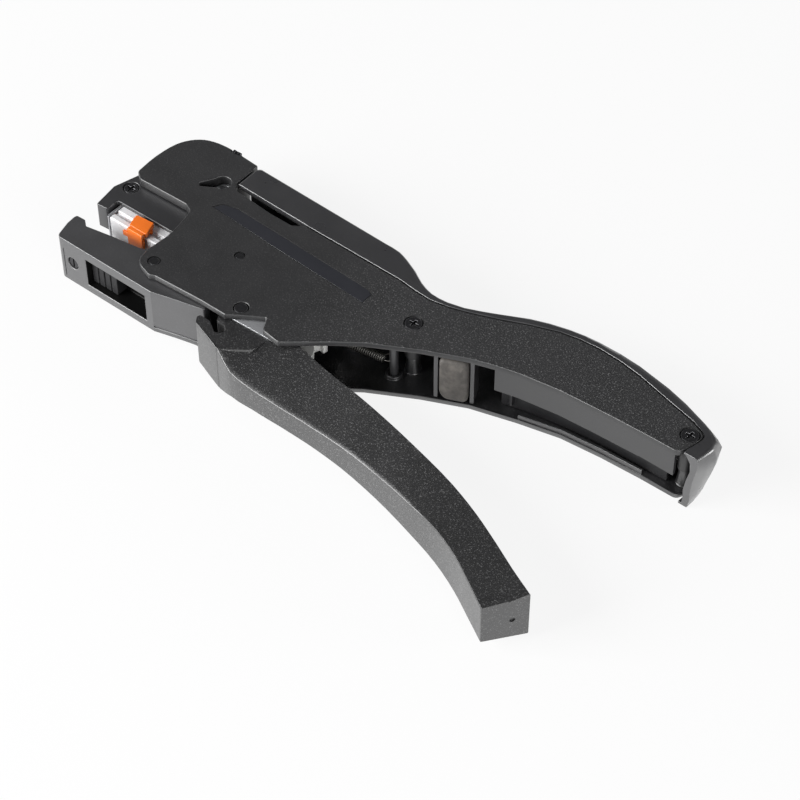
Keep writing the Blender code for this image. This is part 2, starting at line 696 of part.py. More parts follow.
def make_lobe_clip(surface):
    """The snap clip in the lobe's back edge."""
    centre = spot(CLIP_SHARE)
    low = centre - Vector((CLIP_LENGTH / 2, CLIP_WIDTH / 2))
    high = centre + Vector((CLIP_LENGTH / 2, CLIP_WIDTH / 2))
    foot = BODY_DEPTH - CLIP_DEPTH + SEAT_GAP
    clip = prism("lobe_clip", rectangle(low, high), foot, BODY_DEPTH - SEAT_GAP, PIN_SINK)
    cut(clip, block("cutter", (centre.x - CLIP_LENGTH / 6, low.y - OVERRUN, BODY_DEPTH - CRISP),
                    (centre.x + CLIP_LENGTH / 6, high.y + OVERRUN, BODY_DEPTH + OVERRUN)))
    return finish(clip, surface)


def make_bottom_cover(surface):
    """The lower cover with its blind pin seats, lower bosses and the rim along the handle."""
    cover = cover_plate("bottom_cover", BOTTOM_EDGE_SHARES, 0, COVER_WALL, HEAD_LOW - SEAT_GAP)
    for share in (HANDLE_SCREW_SHARE, END_SCREW_SHARE):
        join(cover, turned("boss", spot(share), (
            (SCREW_BOSS_RADIUS, COVER_WALL / 2),
            (BOSS_FOOT_RADIUS, BOSS_JOINT_HEIGHT - SEAT_GAP),
        )))
        cut(cover, pocket(spot(share), SCREW_SHANK_RADIUS + SEAT_GAP,
                          COVER_WALL, BOSS_JOINT_HEIGHT + OVERRUN))
    join(cover, pocket(spot(SPRING_POST_SHARE), POST_RADIUS + INNER_WALL,
                       COVER_WALL / 2, COVER_WALL + PIN_SEAT, SMALL_CIRCLE_SIDES))
    cut(
        cover,
        pocket(spot(SPRING_POST_SHARE), POST_RADIUS + SEAT_GAP, COVER_WALL,
               COVER_WALL + OVERRUN, SMALL_CIRCLE_SIDES),
        blind_seat(HANDLE_PIVOT_SHARE, HANDLE_PIN_RADIUS),
        blind_seat(JAW_PIVOT_SHARE, JAW_PIN_RADIUS),
        blind_seat(DOWEL_SHARE, DOWEL_RADIUS),
        blind_seat(LEVER_PIN_SHARE, LEVER_PIN_RADIUS),
    )
    join(cover, edge_rib("rim", BOTTOM_EDGE_SHARES, RIM_SHARES, EDGE_CHAMFER, RIM_WIDTH,
                         (COVER_WALL / 2, COVER_WALL + RIM_HEIGHT)))
    return finish(cover, surface)


def blind_seat(share, radius):
    """A blind seat for a pin in the lower cover, open towards the inside."""
    return pocket(spot(share), radius + SEAT_GAP, COVER_WALL - PIN_SEAT, COVER_WALL + OVERRUN)


def edge_rib(name, grip_edge, shares, inset, wall, levels):
    """A rib that follows a cover's edge along the grip between two shares of its length."""
    start, end = (share * GRIP_LENGTH for share in shares)
    side = spot(END_SCREW_SHARE).y
    ring = cover_outline(grip_edge)
    line = [place for place in ring if start < place.x < end and place.y < side]
    outer = [place + Vector((0, inset)) for place in line]
    inner = [place + Vector((0, inset + wall)) for place in reversed(line)]
    return prism(name, outer + inner, *levels)


def make_back_shell(surface):
    """Magazine lid, back strip and end cap in one piece, hollow over the magazine."""
    ring = outline(SHELL_OUTER_SHARES)
    start, end = BULGE_START_SHARE * GRIP_LENGTH, BULGE_END_SHARE * GRIP_LENGTH
    cap = CAP_START_SHARE * GRIP_LENGTH
    swell = [SHELL_BULGE * smooth_step((point.x - start) / (end - start))
             + (END_BULGE - SHELL_BULGE) * smooth_step((point.x - cap) / (GRIP_LENGTH - cap))
             for point in ring]
    loops = []
    for rounding, lean, rise in SHELL_RIM + SHELL_RIM[-2::-1]:
        upper = len(loops) >= len(SHELL_RIM)
        height = BODY_DEPTH - rise * MIDDLE if upper else rise * MIDDLE
        amounts = [SHELL_EDGE * rounding + lean * part for part in swell]
        loops.append([point.to_3d() + Vector((0, 0, height)) for point in shrunk(ring, amounts)])
    shell = loft("back_shell", loops)
    low, high = -OVERRUN, BODY_DEPTH + OVERRUN
    cut(
        shell,
        prism("cutter", shrunk(cover_outline(TOP_EDGE_SHARES), -SEAT_GAP), low, high),
        prism("cutter", outline(SHELL_HOLLOW_SHARES), low, high),
        end_hollow(),
        prism("cutter", outline(MAGAZINE_SHARES), SHELL_WALL, BODY_DEPTH - SHELL_WALL),
    )
    return finish(shell, surface)


def end_hollow():
    """The cutter that lets the end wall's inner face follow its outer bulge."""
    low, high = spot(END_HOLLOW_SHARES[0]), spot(END_HOLLOW_SHARES[1])
    loops = []
    for rounding, lean, rise in SHELL_RIM[2:] + SHELL_RIM[-2:1:-1]:
        upper = len(loops) >= len(SHELL_RIM[2:])
        height = BODY_DEPTH - rise * MIDDLE if upper else rise * MIDDLE
        ring = rectangle(low, high + Vector((END_BULGE * (1 - lean), 0)))
        loops.append([point.to_3d() + Vector((0, 0, height)) for point in ring])
    return loft("cutter", loops)


# Screws and pins

def make_cover_screw(name, share, surface):
    """A countersunk cross-recess screw."""
    centre = spot(share)
    top = BODY_DEPTH - PIN_SINK
    screw = turned(name, centre, (
        (SCREW_SHANK_RADIUS * 0.6, top - SCREW_LENGTH),
        (SCREW_SHANK_RADIUS, top - SCREW_LENGTH + SCREW_SHANK_RADIUS),
        (SCREW_SHANK_RADIUS, top - SCREW_HEAD_DEPTH),
        (SCREW_HEAD_RADIUS, top - PIN_SINK),
        (SCREW_HEAD_RADIUS - PIN_SINK, top),
    ))
    for span in ((RECESS_SPAN, RECESS_WIDTH), (RECESS_WIDTH, RECESS_SPAN)):
        half = Vector(span) / 2
        cut(screw, block("cutter", (*(centre - half), top - RECESS_DEPTH),
                         (*(centre + half), top + OVERRUN)))
    return finish(screw, surface)


def make_pin(name, share, radius, surface, low=COVER_WALL - PIN_SEAT + SEAT_GAP,
             high=BODY_DEPTH - PIN_SINK, carrier=None):
    """A plain pin with chamfered ends."""
    pin = turned(name, spot(share), (
        (radius - PIN_SINK, low), (radius, low + PIN_SINK),
        (radius, high - PIN_SINK), (radius - PIN_SINK, high),
    ))
    return finish(pin, surface, carrier)


def make_dowel(surface):
    """The stepped dowel whose head lies flush in the top cover."""
    step = BODY_DEPTH - PIN_SINK - DOWEL_HEAD_DEPTH
    dowel = turned("cover_dowel", spot(DOWEL_SHARE), (
        (DOWEL_RADIUS, COVER_WALL - PIN_SEAT + SEAT_GAP),
        (DOWEL_RADIUS, step),
        (DOWEL_HEAD_RADIUS, step + PIN_SINK),
        (DOWEL_HEAD_RADIUS, BODY_DEPTH - PIN_SINK),
    ))
    return finish(dowel, surface)


# Upper jaw

def make_upper_jaw(surface):
    """The stepped housing under the lobe, with its plate, hook wall and inner channels."""
    jaw = prism("upper_jaw", outline(UPPER_JAW_SHARES), HEAD_LOW, HEAD_HIGH, SEAT_GAP)
    clamp = outline(CLAMP_SHARES)
    left = min(point.x for point in clamp)
    right = max(point.x for point in clamp)
    back = max(point.y for point in clamp)
    front = spot(UPPER_JAW_SHARES[4])
    tip = spot(UPPER_JAW_SHARES[1])
    cut(
        jaw,
        block("cutter", (front.x, front.y - OVERRUN, CLAMP_LOW - SEAT_GAP),
              (right + SEAT_GAP, back + SEAT_GAP, CLAMP_HIGH + SEAT_GAP)),
        block("cutter", (tip.x - OVERRUN, 0, 0),
              (left - BLADE_THICKNESS, front.y, HOOK_WALL_LOW)),
        plunger_channel(),
        hole(spot(PORT_SHARE), PORT_RADIUS + FUNNEL_WALL + SEAT_GAP,
             PLUNGER_HIGH + OVERRUN, HEAD_HIGH),
        port_cutter(PLUNGER_LOW, HEAD_HIGH + OVERRUN),
        turned("cutter", spot(JAW_SCREW_SHARE), (
            (SCREW_SHANK_RADIUS + SEAT_GAP, HEAD_HIGH - JAW_SCREW_DEPTH - COVER_WALL),
            (SCREW_SHANK_RADIUS + SEAT_GAP, HEAD_HIGH - SCREW_HEAD_DEPTH),
            (JAW_SCREW_RADIUS + SEAT_GAP, HEAD_HIGH - SCREW_HEAD_DEPTH),
            (JAW_SCREW_RADIUS + SEAT_GAP, HEAD_HIGH + OVERRUN),
        )),
    )
    return finish(jaw, surface)


def plunger_channel():
    """The channel that guides the plunger and seats the anvil."""
    middle = spot(PLUNGER_PIN_SHARE).y
    half = PLUNGER_WIDTH / 2 + RUN_GAP
    right = spot(UPPER_JAW_SHARES[5]).x + OVERRUN
    left = anvil_face() - ANVIL_LENGTH - SEAT_GAP
    return block("cutter", (left, middle - half, PLUNGER_LOW - RUN_GAP),
                 (right, middle + half, PLUNGER_HIGH + RUN_GAP))


def anvil_face():
    """Where the anvil's working face lies along the tool."""
    return spot(PORT_SHARE).x - PORT_RADIUS + RUN_GAP


def make_jaw_screw(surface):
    """The cross-recess screw in the upper jaw's plate."""
    centre = spot(JAW_SCREW_SHARE)
    top = HEAD_HIGH - PIN_SINK
    seat = HEAD_HIGH - SCREW_HEAD_DEPTH + SEAT_GAP
    screw = turned("jaw_screw", centre, (
        (SCREW_SHANK_RADIUS, HEAD_HIGH - JAW_SCREW_DEPTH),
        (SCREW_SHANK_RADIUS, seat),
        (JAW_SCREW_RADIUS, seat),
        (JAW_SCREW_RADIUS, top - PIN_SINK),
        (JAW_SCREW_RADIUS - PIN_SINK, top),
    ))
    for span in ((RECESS_SPAN, RECESS_WIDTH), (RECESS_WIDTH, RECESS_SPAN)):
        half = Vector(span) / 2
        cut(screw, block("cutter", (*(centre - half), top - RECESS_DEPTH),
                         (*(centre + half), top + OVERRUN)))
    return finish(screw, surface)


def make_clamp_block(surface):
    """The white clamp block in the upper jaw, with the groove that guides the stop."""
    ring = outline(CLAMP_SHARES)
    clamp = prism("clamp_block", ring, CLAMP_LOW, CLAMP_HIGH, EDGE_CHAMFER)
    left = min(point.x for point in ring)
    right = max(point.x for point in ring)
    rail = stop_rail_line()
    half = STOP_RIB / 2 + RUN_GAP
    depth = STOP_RIB_DEPTH + RUN_GAP
    cut(clamp, block("cutter", (left - OVERRUN, rail - half, CLAMP_HIGH - depth),
                     (right + OVERRUN, rail + half, CLAMP_HIGH + OVERRUN)))
    return finish(clamp, surface)


def stop_rail_line():
    """Where the stop's guide groove lies across the clamp block."""
    return (spot(CLAMP_SHARES[0]).y + spot(UPPER_JAW_SHARES[5]).y) / 2


def make_upper_blade(surface):
    """The upper stripping blade between the hook wall and the clamp block."""
    clamp = outline(CLAMP_SHARES)
    right = min(point.x for point in clamp) - SEAT_GAP
    front = min(point.y for point in clamp)
    back = max(point.y for point in clamp) - COVER_WALL
    blade = block("upper_blade", (right - BLADE_THICKNESS, front, CLAMP_LOW),
                  (right, back, CLAMP_HIGH))
    bevel = [Vector((right - BLADE_THICKNESS - OVERRUN, front - OVERRUN)),
             Vector((right - BLADE_THICKNESS * 0.6, front - OVERRUN)),
             Vector((right - BLADE_THICKNESS * 0.6, front)),
             Vector((right - BLADE_THICKNESS - SEAT_GAP, front + BLADE_EDGE))]
    cut(blade, prism("cutter", bevel, CLAMP_LOW - OVERRUN, CLAMP_HIGH + OVERRUN))
    return finish(blade, surface)


def make_length_stop(surface, carrier):
    """The orange stop: a top with a waist, a leg in front of the block and a low bar."""
    top_ring = outline(STOP_TOP_SHARES)
    front = min(point.y for point in top_ring)
    face = spot(CLAMP_SHARES[0]).y
    leg_back = face - RUN_GAP
    leg_front = leg_back - STOP_LEG
    left, right = (share * HEAD_LENGTH for share in STOP_LEG_SHARES)
    stop = prism("length_stop", top_ring, CLAMP_HIGH + SEAT_GAP, STOP_HIGH, PIN_SINK)
    join(
        stop,
        block("leg", (left, leg_front, STOP_LOW), (right, leg_back, STOP_HIGH - PIN_SINK)),
        block("bridge", (left, leg_front, CLAMP_HIGH + RUN_GAP),
              (right, front + STOP_LEG, STOP_HIGH - PIN_SINK * 2)),
    )
    bar_left, bar_right = (share * HEAD_LENGTH for share in STOP_BAR_SHARES)
    join(stop, block("bar", (bar_left, leg_front + PIN_SINK, STOP_SHELF - BLADE_EDGE),
                     (bar_right, leg_back - PIN_SINK, STOP_SHELF)))
    rail = stop_rail_line()
    join(stop, block("rib", (left, rail - STOP_RIB / 2, CLAMP_HIGH - STOP_RIB_DEPTH),
                     (right, rail + STOP_RIB / 2, CLAMP_HIGH + RUN_GAP * 2)))
    return finish(stop, surface, carrier)


# Lower jaw

def make_lower_jaw(surface, carrier):
    """The moulded lower jaw with its hooked tip, long window, tail and screw hole."""
    ring = outline(LOWER_JAW_SHARES)
    jaw = prism("lower_jaw", ring, MOVER_LOW, MOVER_HIGH, SEAT_GAP)
    left, right = (share * HEAD_LENGTH for share in JAW_WINDOW_SHARES)
    face = spot(ECCENTRIC_SHARE).y
    screw = spot(ECCENTRIC_SHARE)
    cut(
        jaw,
        block("cutter", (left, face - OVERRUN, WINDOW_LOW), (right, face + WINDOW_DEPTH, WINDOW_HIGH)),
        hole(spot(JAW_PIVOT_SHARE), JAW_PIN_RADIUS + SEAT_GAP, MOVER_LOW, MOVER_HIGH),
        side_cylinder("cutter", screw, ECCENTRIC_RADIUS + SEAT_GAP, -OVERRUN,
                      ECCENTRIC_DEPTH + SEAT_GAP),
        lower_blade_block("cutter", SEAT_GAP),
        foot_groove(ring),
        parting_line(),
    )
    return finish(jaw, surface, carrier)


def side_cylinder(name, place, radius, start, end):
    """A round body with its axis across the tool at mid depth, from start to end past a place."""
    loops = []
    for offset in (start, end):
        ring = circle(Vector((place.x, MIDDLE)), radius, SMALL_CIRCLE_SIDES)
        loops.append([Vector((point.x, place.y + offset, point.y)) for point in ring])
    return loft(name, loops)


def lower_blade_block(name, gap):
    """The lower blade's body, grown by a gap when it cuts its own slot."""
    place = spot(LOWER_BLADE_SHARE)
    half = BLADE_THICKNESS / 2 + gap
    rise = OVERRUN if gap else -PIN_SINK
    return block(name, (place.x - half, place.y - WINDOW_DEPTH + COVER_WALL - gap, CLAMP_LOW - gap),
                 (place.x + half, place.y + rise, CLAMP_HIGH + gap))


def foot_groove(ring):
    """The fine groove low on the tail's outer wall."""
    start = spot(LOWER_JAW_SHARES[-1])
    end = spot(LOWER_JAW_SHARES[12])
    line = [point for point in ring if start.x < point.x < end.x and point.y < end.y]
    line.sort(key=lambda point: point.x)
    inner = [point + Vector((0, GROOVE_DEPTH)) for point in line]
    outer = [point - Vector((0, OVERRUN)) for point in reversed(line)]
    return prism("cutter", inner + outer, GROOVE_LEVEL, GROOVE_LEVEL + GROOVE_HEIGHT)


def parting_line():
    """The fine upright parting slit near the jaw's front corner."""
    corner = spot(LOWER_JAW_SHARES[0])
    place = corner.x + SOFT
    return block("cutter", (place, corner.y - OVERRUN, PARTING_LOW),
                 (place + PARTING_WIDTH, corner.y + GROOVE_DEPTH, PARTING_HIGH))


def make_eccentric_screw(surface, carrier):
    """The slotted screw in the lower jaw's outer wall."""
    place = spot(ECCENTRIC_SHARE)
    screw = side_cylinder("eccentric_screw", place, ECCENTRIC_RADIUS, PIN_SINK * 2, ECCENTRIC_DEPTH)
    half = SLOT_WIDTH / 2
    cut(screw, block("cutter", (place.x - half, place.y - OVERRUN, MIDDLE - ECCENTRIC_RADIUS * 2),
                     (place.x + half, place.y + RECESS_DEPTH, MIDDLE + ECCENTRIC_RADIUS * 2)))
    return finish(screw, surface, carrier)


def make_lower_clamp(surface, carrier):
    """The clamp insert behind the lower jaw's window, with its gripping ribs."""
    left, right = (share * HEAD_LENGTH for share in LOWER_CLAMP_SHARES)
    back = spot(ECCENTRIC_SHARE).y + WINDOW_DEPTH - SEAT_GAP
    front = back - WINDOW_DEPTH * 0.62
    insert = block("lower_clamp", (left, front, WINDOW_LOW + SEAT_GAP),
                   (right, back, WINDOW_HIGH - SEAT_GAP))
    ribs = 3
    pitch = (right - left) / (ribs + 1)
    for rib in range(1, ribs + 1):
        middle = left + pitch * rib
        cut(insert, block("cutter", (middle - SLOT_WIDTH / 2, front - OVERRUN, WINDOW_LOW),
                          (middle + SLOT_WIDTH / 2, front + SLOT_WIDTH, WINDOW_HIGH)))
    return finish(insert, surface, carrier)


# Crimping port and its drive

def make_funnel(surface):
    """The ferrule funnel in the crimping port, open from top to bottom."""
    funnel = pocket(spot(PORT_SHARE), PORT_RADIUS + FUNNEL_WALL,
                    PLUNGER_HIGH + RUN_GAP + SEAT_GAP, HEAD_HIGH - SEAT_GAP)
    funnel.name = "ferrule_funnel"
    funnel.data.name = "ferrule_funnel"
    cut(funnel, hole(spot(PORT_SHARE), PORT_RADIUS, HEAD_LOW, BODY_DEPTH),
        port_cutter(HEAD_LOW, BODY_DEPTH))
    return finish(funnel, surface)


def make_anvil(surface):
    """The fixed crimping die with its notch."""
    middle = spot(PLUNGER_PIN_SHARE).y
    half = PLUNGER_WIDTH / 2 + RUN_GAP - SEAT_GAP
    face = anvil_face()
    anvil = block("crimp_anvil", (face - ANVIL_LENGTH, middle - half, PLUNGER_LOW),
                  (face, middle + half, PLUNGER_HIGH))
    return finish(cut(anvil, die_notch(face, 1)), surface)


def die_notch(face, side):
    """The V notch of a die, with its mouth on the working face."""
    centre = spot(PORT_SHARE).y - GROOVE_HALF
    points = [Vector((face + side * OVERRUN, centre - GROOVE_HALF)),
              Vector((face, centre - GROOVE_HALF)),
              Vector((face - side * GROOVE_HALF, centre)),
              Vector((face, centre + GROOVE_HALF)),
              Vector((face + side * OVERRUN, centre + GROOVE_HALF))]
    if side < 0:
        points.reverse()
    return prism("cutter", points, 0, BODY_DEPTH)


def make_plunger(surface, carrier):
    """The crimping plunger, forked at its rear end for the push link."""
    pin = spot(PLUNGER_PIN_SHARE)
    half = PLUNGER_WIDTH / 2
    tip = PLUNGER_TIP_SHARE * HEAD_LENGTH
    rear = pin.x + LINK_EYE_RADIUS
    plunger = prism("crimp_plunger", rectangle((tip, pin.y - half), (rear, pin.y + half)),
                    PLUNGER_LOW, PLUNGER_HIGH, PIN_SINK)
    fork = LINK_EYE_RADIUS + LINK_FLOAT * 2
    cut(
        plunger,
        block("cutter", (pin.x - fork, pin.y - half - OVERRUN, LINK_LOW - SEAT_GAP),
              (rear + OVERRUN, pin.y + half + OVERRUN, LINK_HIGH + SEAT_GAP)),
        hole(pin, DRIVE_PIN_RADIUS + SEAT_GAP, PLUNGER_LOW, PLUNGER_HIGH, SMALL_CIRCLE_SIDES),
        die_notch(tip, -1),
    )
    return finish(plunger, surface, carrier)


def make_push_link(surface, carrier):
    """The link between the drive plates and the plunger, with an eye at each end."""
    start, end = spot(DRIVE_PIN_SHARE), spot(PLUNGER_PIN_SHARE)
    link = pocket(start, LINK_EYE_RADIUS, LINK_LOW, LINK_HIGH)
    link.name = "push_link"
    link.data.name = "push_link"
    along = (end - start).normalized()
    side = Vector((-along.y, along.x)) * (LINK_WIDTH / 2)
    bar = [start + side, start - side, end - side, end + side]
    join(link, prism("bar", bar, LINK_LOW, LINK_HIGH),
         pocket(end, LINK_EYE_RADIUS, LINK_LOW, LINK_HIGH))
    cut(link, hole(start, DRIVE_PIN_RADIUS + SEAT_GAP, LINK_LOW, LINK_HIGH, SMALL_CIRCLE_SIDES),
        hole(end, DRIVE_PIN_RADIUS + LINK_FLOAT, LINK_LOW, LINK_HIGH, SMALL_CIRCLE_SIDES))
    return finish(link, surface, carrier)


def make_drive_plate(name, low, surface, carrier):
    """A steel cheek that turns with the handle and drives the link by its arm."""
    plate = prism(name, outline(DRIVE_PLATE_SHARES), low, low + DRIVE_PLATE)
    cut(plate,
        hole(spot(HANDLE_PIVOT_SHARE), HANDLE_PIN_RADIUS + SEAT_GAP, low, low + DRIVE_PLATE),
        hole(spot(DRIVE_PIN_SHARE), DRIVE_PIN_RADIUS + SEAT_GAP, low, low + DRIVE_PLATE,
             SMALL_CIRCLE_SIDES))
    return finish(plate, surface, carrier)


# Moving handle

def grip_section(inner, outer, drop):
    """One section of the domed grip: upright inner side, domed faces, low outer side."""
    half = MIDDLE - MOVER_LOW
    across = outer - inner
    upper = [(0, half - GRIP_EDGE)] + [(part, half - drop * fall) for part, fall in DOME_SHARES]
    upper += [(1 - DOME_SHARES[0][0], half - drop), (1, half - drop - GRIP_EDGE)]
    lower = [(part, -height) for part, height in reversed(upper)]
    return [(inner + across * part).to_3d() + Vector((0, 0, MIDDLE + height))
            for part, height in upper + lower]


def make_moving_handle(surface, carrier):
    """The curved moving handle with its nose, notch, smooth patch and pivot boss."""
    bends = 3
    inner = open_line(GRIP_INNER_SHARES, bends)
    outer = open_line(GRIP_OUTER_SHARES, bends)
    sections = []
    for index, (near, far) in enumerate(zip(inner, outer)):
        station, step = divmod(index, bends)
        fall = GRIP_FALL_SHARES[station]
        after = GRIP_FALL_SHARES[min(station + 1, len(GRIP_FALL_SHARES) - 1)]
        drop = OUTER_DROP * (fall + (after - fall) * step / bends)
        sections.append(grip_section(near, far, drop))
    handle = loft("moving_handle", sections)
    join(handle, prism("nose", outline(NOSE_SHARES), MOVER_LOW, MOVER_HIGH, SEAT_GAP))
    pivot = spot(HANDLE_PIVOT_SHARE)
    patch = outline(SMOOTH_PATCH_SHARES)
    plate = shrunk(outline(DRIVE_PLATE_SHARES), -SEAT_GAP)
    plate_top, plate_low = MOVER_HIGH - DRIVE_PLATE - SEAT_GAP, MOVER_LOW + DRIVE_PLATE + SEAT_GAP
    cam = shrunk(outline(CAM_SHARES), -SEAT_GAP)
    cut(
        handle,
        prism("cutter", patch, MOVER_HIGH - SMOOTH_SINK, MOVER_HIGH + OVERRUN),
        prism("cutter", patch, MOVER_LOW - OVERRUN, MOVER_LOW + SMOOTH_SINK),
        prism("cutter", plate, plate_top, MOVER_HIGH + OVERRUN),
        prism("cutter", plate, MOVER_LOW - OVERRUN, plate_low),
        prism("cutter", cam, CAM_LOW - SEAT_GAP, CAM_HIGH + SEAT_GAP),
        hole(pivot, HANDLE_PIN_RADIUS + SEAT_GAP, MOVER_LOW, MOVER_HIGH),
        pocket(pivot, SPRING_POCKET_RADIUS, SPRING_POCKET_LOW, SPRING_POCKET_HIGH),
        end_dimple(inner[-1], outer[-1]),
    )
    return finish(handle, surface, carrier)


def end_dimple(inner, outer):
    """The small dimple in the handle's end face."""
    centre = between(inner, outer, 0.35)
    across = (outer - inner).normalized()
    out = Vector((-across.y, across.x, 0))
    start = centre.to_3d() + Vector((0, 0, MIDDLE - DIMPLE_RADIUS)) - out * DIMPLE_RADIUS / 2
    return tube("cutter", [start, start + out * OVERRUN], DIMPLE_RADIUS, SMALL_CIRCLE_SIDES)


def make_cam_hook(surface, carrier):
    """The light cam with its hook, let into the handle's inner side."""
    return finish(prism("cam_hook", outline(CAM_SHARES), CAM_LOW, CAM_HIGH), surface, carrier)


def make_opening_spring(surface):
    """The coil round the main pivot that opens the handles."""
    centre = spot(HANDLE_PIVOT_SHARE)
    turns, steps = 5, 16
    low = SPRING_POCKET_LOW + OPENING_WIRE_RADIUS * 2
    rise = SPRING_POCKET_HIGH - SPRING_POCKET_LOW - OPENING_WIRE_RADIUS * 4
    path = []
    for step in range(turns * steps + 1):
        turn = math.tau * step / steps
        reach = Vector((math.cos(turn), math.sin(turn), 0)) * OPENING_COIL_RADIUS
        path.append(centre.to_3d() + reach + Vector((0, 0, low + rise * step / (turns * steps))))
    return finish(tube("opening_spring", path, OPENING_WIRE_RADIUS, 5), surface)


# Ferrule feed

def make_strip_guide(surface):
    """The channel that guides the strip of ferrules through the magazine."""
    low, high = (spot(share) for share in STRIP_GUIDE_SHARES)
    guide = prism("strip_guide", rectangle(low, high), CORE_LOW, GUIDE_HIGH)
    wall = Vector((0, GUIDE_WALL))
    cut(guide, block("cutter", (*(low + wall - Vector((OVERRUN, 0))), CORE_LOW + GUIDE_WALL),
                     (*(high - wall + Vector((OVERRUN, 0))), GUIDE_HIGH + OVERRUN)))
    return finish(guide, surface)


def make_feed_lever(surface, carrier):
    """The lever that feeds the strip, with its claw, eye and spring peg."""
    lever = prism("feed_lever", outline(LEVER_SHARES), LEVER_LOW, LEVER_HIGH)
    pin, peg = spot(LEVER_PIN_SHARE), spot(LEVER_PEG_SHARE)
    join(lever, pocket(peg, PEG_RADIUS, SPRING_LEVEL - PEG_RADIUS, LEVER_LOW + PEG_RADIUS,
                       SMALL_CIRCLE_SIDES))
    cut(lever, hole(pin, LEVER_PIN_RADIUS + SEAT_GAP, LEVER_LOW, LEVER_HIGH))
    return finish(lever, surface, carrier)


def make_return_spring(surface):
    """The extension spring from the feed lever's peg to the post, with a loop at each end."""
    start, end = spot(LEVER_PEG_SHARE), spot(SPRING_POST_SHARE)
    along = (end - start).normalized()
    turns, steps = 16, 8
    first_loop = PEG_RADIUS + SEAT_GAP + SPRING_WIRE_RADIUS
    last_loop = POST_RADIUS + SEAT_GAP + SPRING_WIRE_RADIUS
    body_start = start + along * (first_loop + SPRING_HOOK_LENGTH)
    body_end = end - along * (last_loop + SPRING_HOOK_LENGTH)
    side = Vector((-along.y, along.x, 0))
    level = Vector((0, 0, SPRING_LEVEL))
    path = hook(start, along, first_loop)
    for step in range(turns * steps + 1):
        turn = math.tau * step / steps
        place = between(body_start, body_end, step / (turns * steps)).to_3d() + level
        path.append(place + (side * math.sin(turn) + Vector((0, 0, math.cos(turn))))
                    * SPRING_COIL_RADIUS)
    path.extend(reversed(hook(end, -along, last_loop)))
    return finish(tube("return_spring", path, SPRING_WIRE_RADIUS, 5), surface)


def hook(centre, along, radius):
    """An open loop round a peg, which ends on the spring's axis."""
    start, end, steps = math.radians(-150), math.radians(100), 9
    points = []
    for step in range(steps + 1):
        turn = math.pi + start + (end - start) * step / steps
        reach = Matrix.Rotation(turn, 2) @ along * radius
        points.append((centre + reach).to_3d() + Vector((0, 0, SPRING_LEVEL)))
    return points


# Fixed handle

def make_inner_wall(surface):
    """The curved inner wall of the fixed handle, with the rib at its root."""
    line = open_line(INNER_WALL_SHARES)
    back = [place + Vector((0, INNER_WALL)) for place in reversed(line)]
    wall = prism("inner_wall", line + back, CORE_LOW, CORE_HIGH)
    place = WALL_RIB_SHARE * GRIP_LENGTH
    seat = min(line, key=lambda point: abs(point.x - place))
    join(wall, block("rib", (seat.x, seat.y - RIB_DEPTH, CORE_LOW + RIM_HEIGHT + SEAT_GAP),
                     (seat.x + RIB_WALL, seat.y + INNER_WALL / 2, CORE_HIGH)))
    return finish(wall, surface)


def pad_frame():
    """The pad's place: the middle of its face, the way along the edge and the way inwards."""
    start, end = spot(PAD_START_SHARE), spot(PAD_END_SHARE)
    along = (end - start).normalized()
    inward = Vector((-along.y, along.x))
    return between(start, end, 0.5) - inward * PAD_PROUD, along, inward


def pad_ring(side, front, back):
    """A rectangle in the pad's own directions."""
    centre, along, inward = pad_frame()
    return [centre - along * side + inward * front, centre + along * side + inward * front,
            centre + along * side + inward * back, centre - along * side + inward * back]


def make_buffer_pad(surface):
    """The rubber pad that the moving handle meets when it closes."""
    corners = pad_ring(PAD_WIDTH / 2, 0, PAD_DEPTH)
    fillets = (PAD_CORNER, PAD_CORNER, CRISP, CRISP)
    ring = filleted(list(zip(corners, fillets)))
    return finish(prism("buffer_pad", ring, CORE_LOW + SEAT_GAP, CORE_HIGH - SEAT_GAP, CRISP),
                  surface)


def make_pad_holder(surface):
    """The holder of the pad: two ribs with a web behind it."""
    side = PAD_WIDTH / 2 + SEAT_GAP + HOLDER_WALL
    front = PAD_PROUD + EDGE_CHAMFER
    holder = prism("pad_holder", pad_ring(side, front, PAD_DEPTH + SEAT_GAP + HOLDER_WALL),
                   CORE_LOW, CORE_HIGH)
    cut(holder, prism("cutter", pad_ring(PAD_WIDTH / 2 + SEAT_GAP, -OVERRUN, PAD_DEPTH + SEAT_GAP),
                      0, BODY_DEPTH))
    return finish(holder, surface)


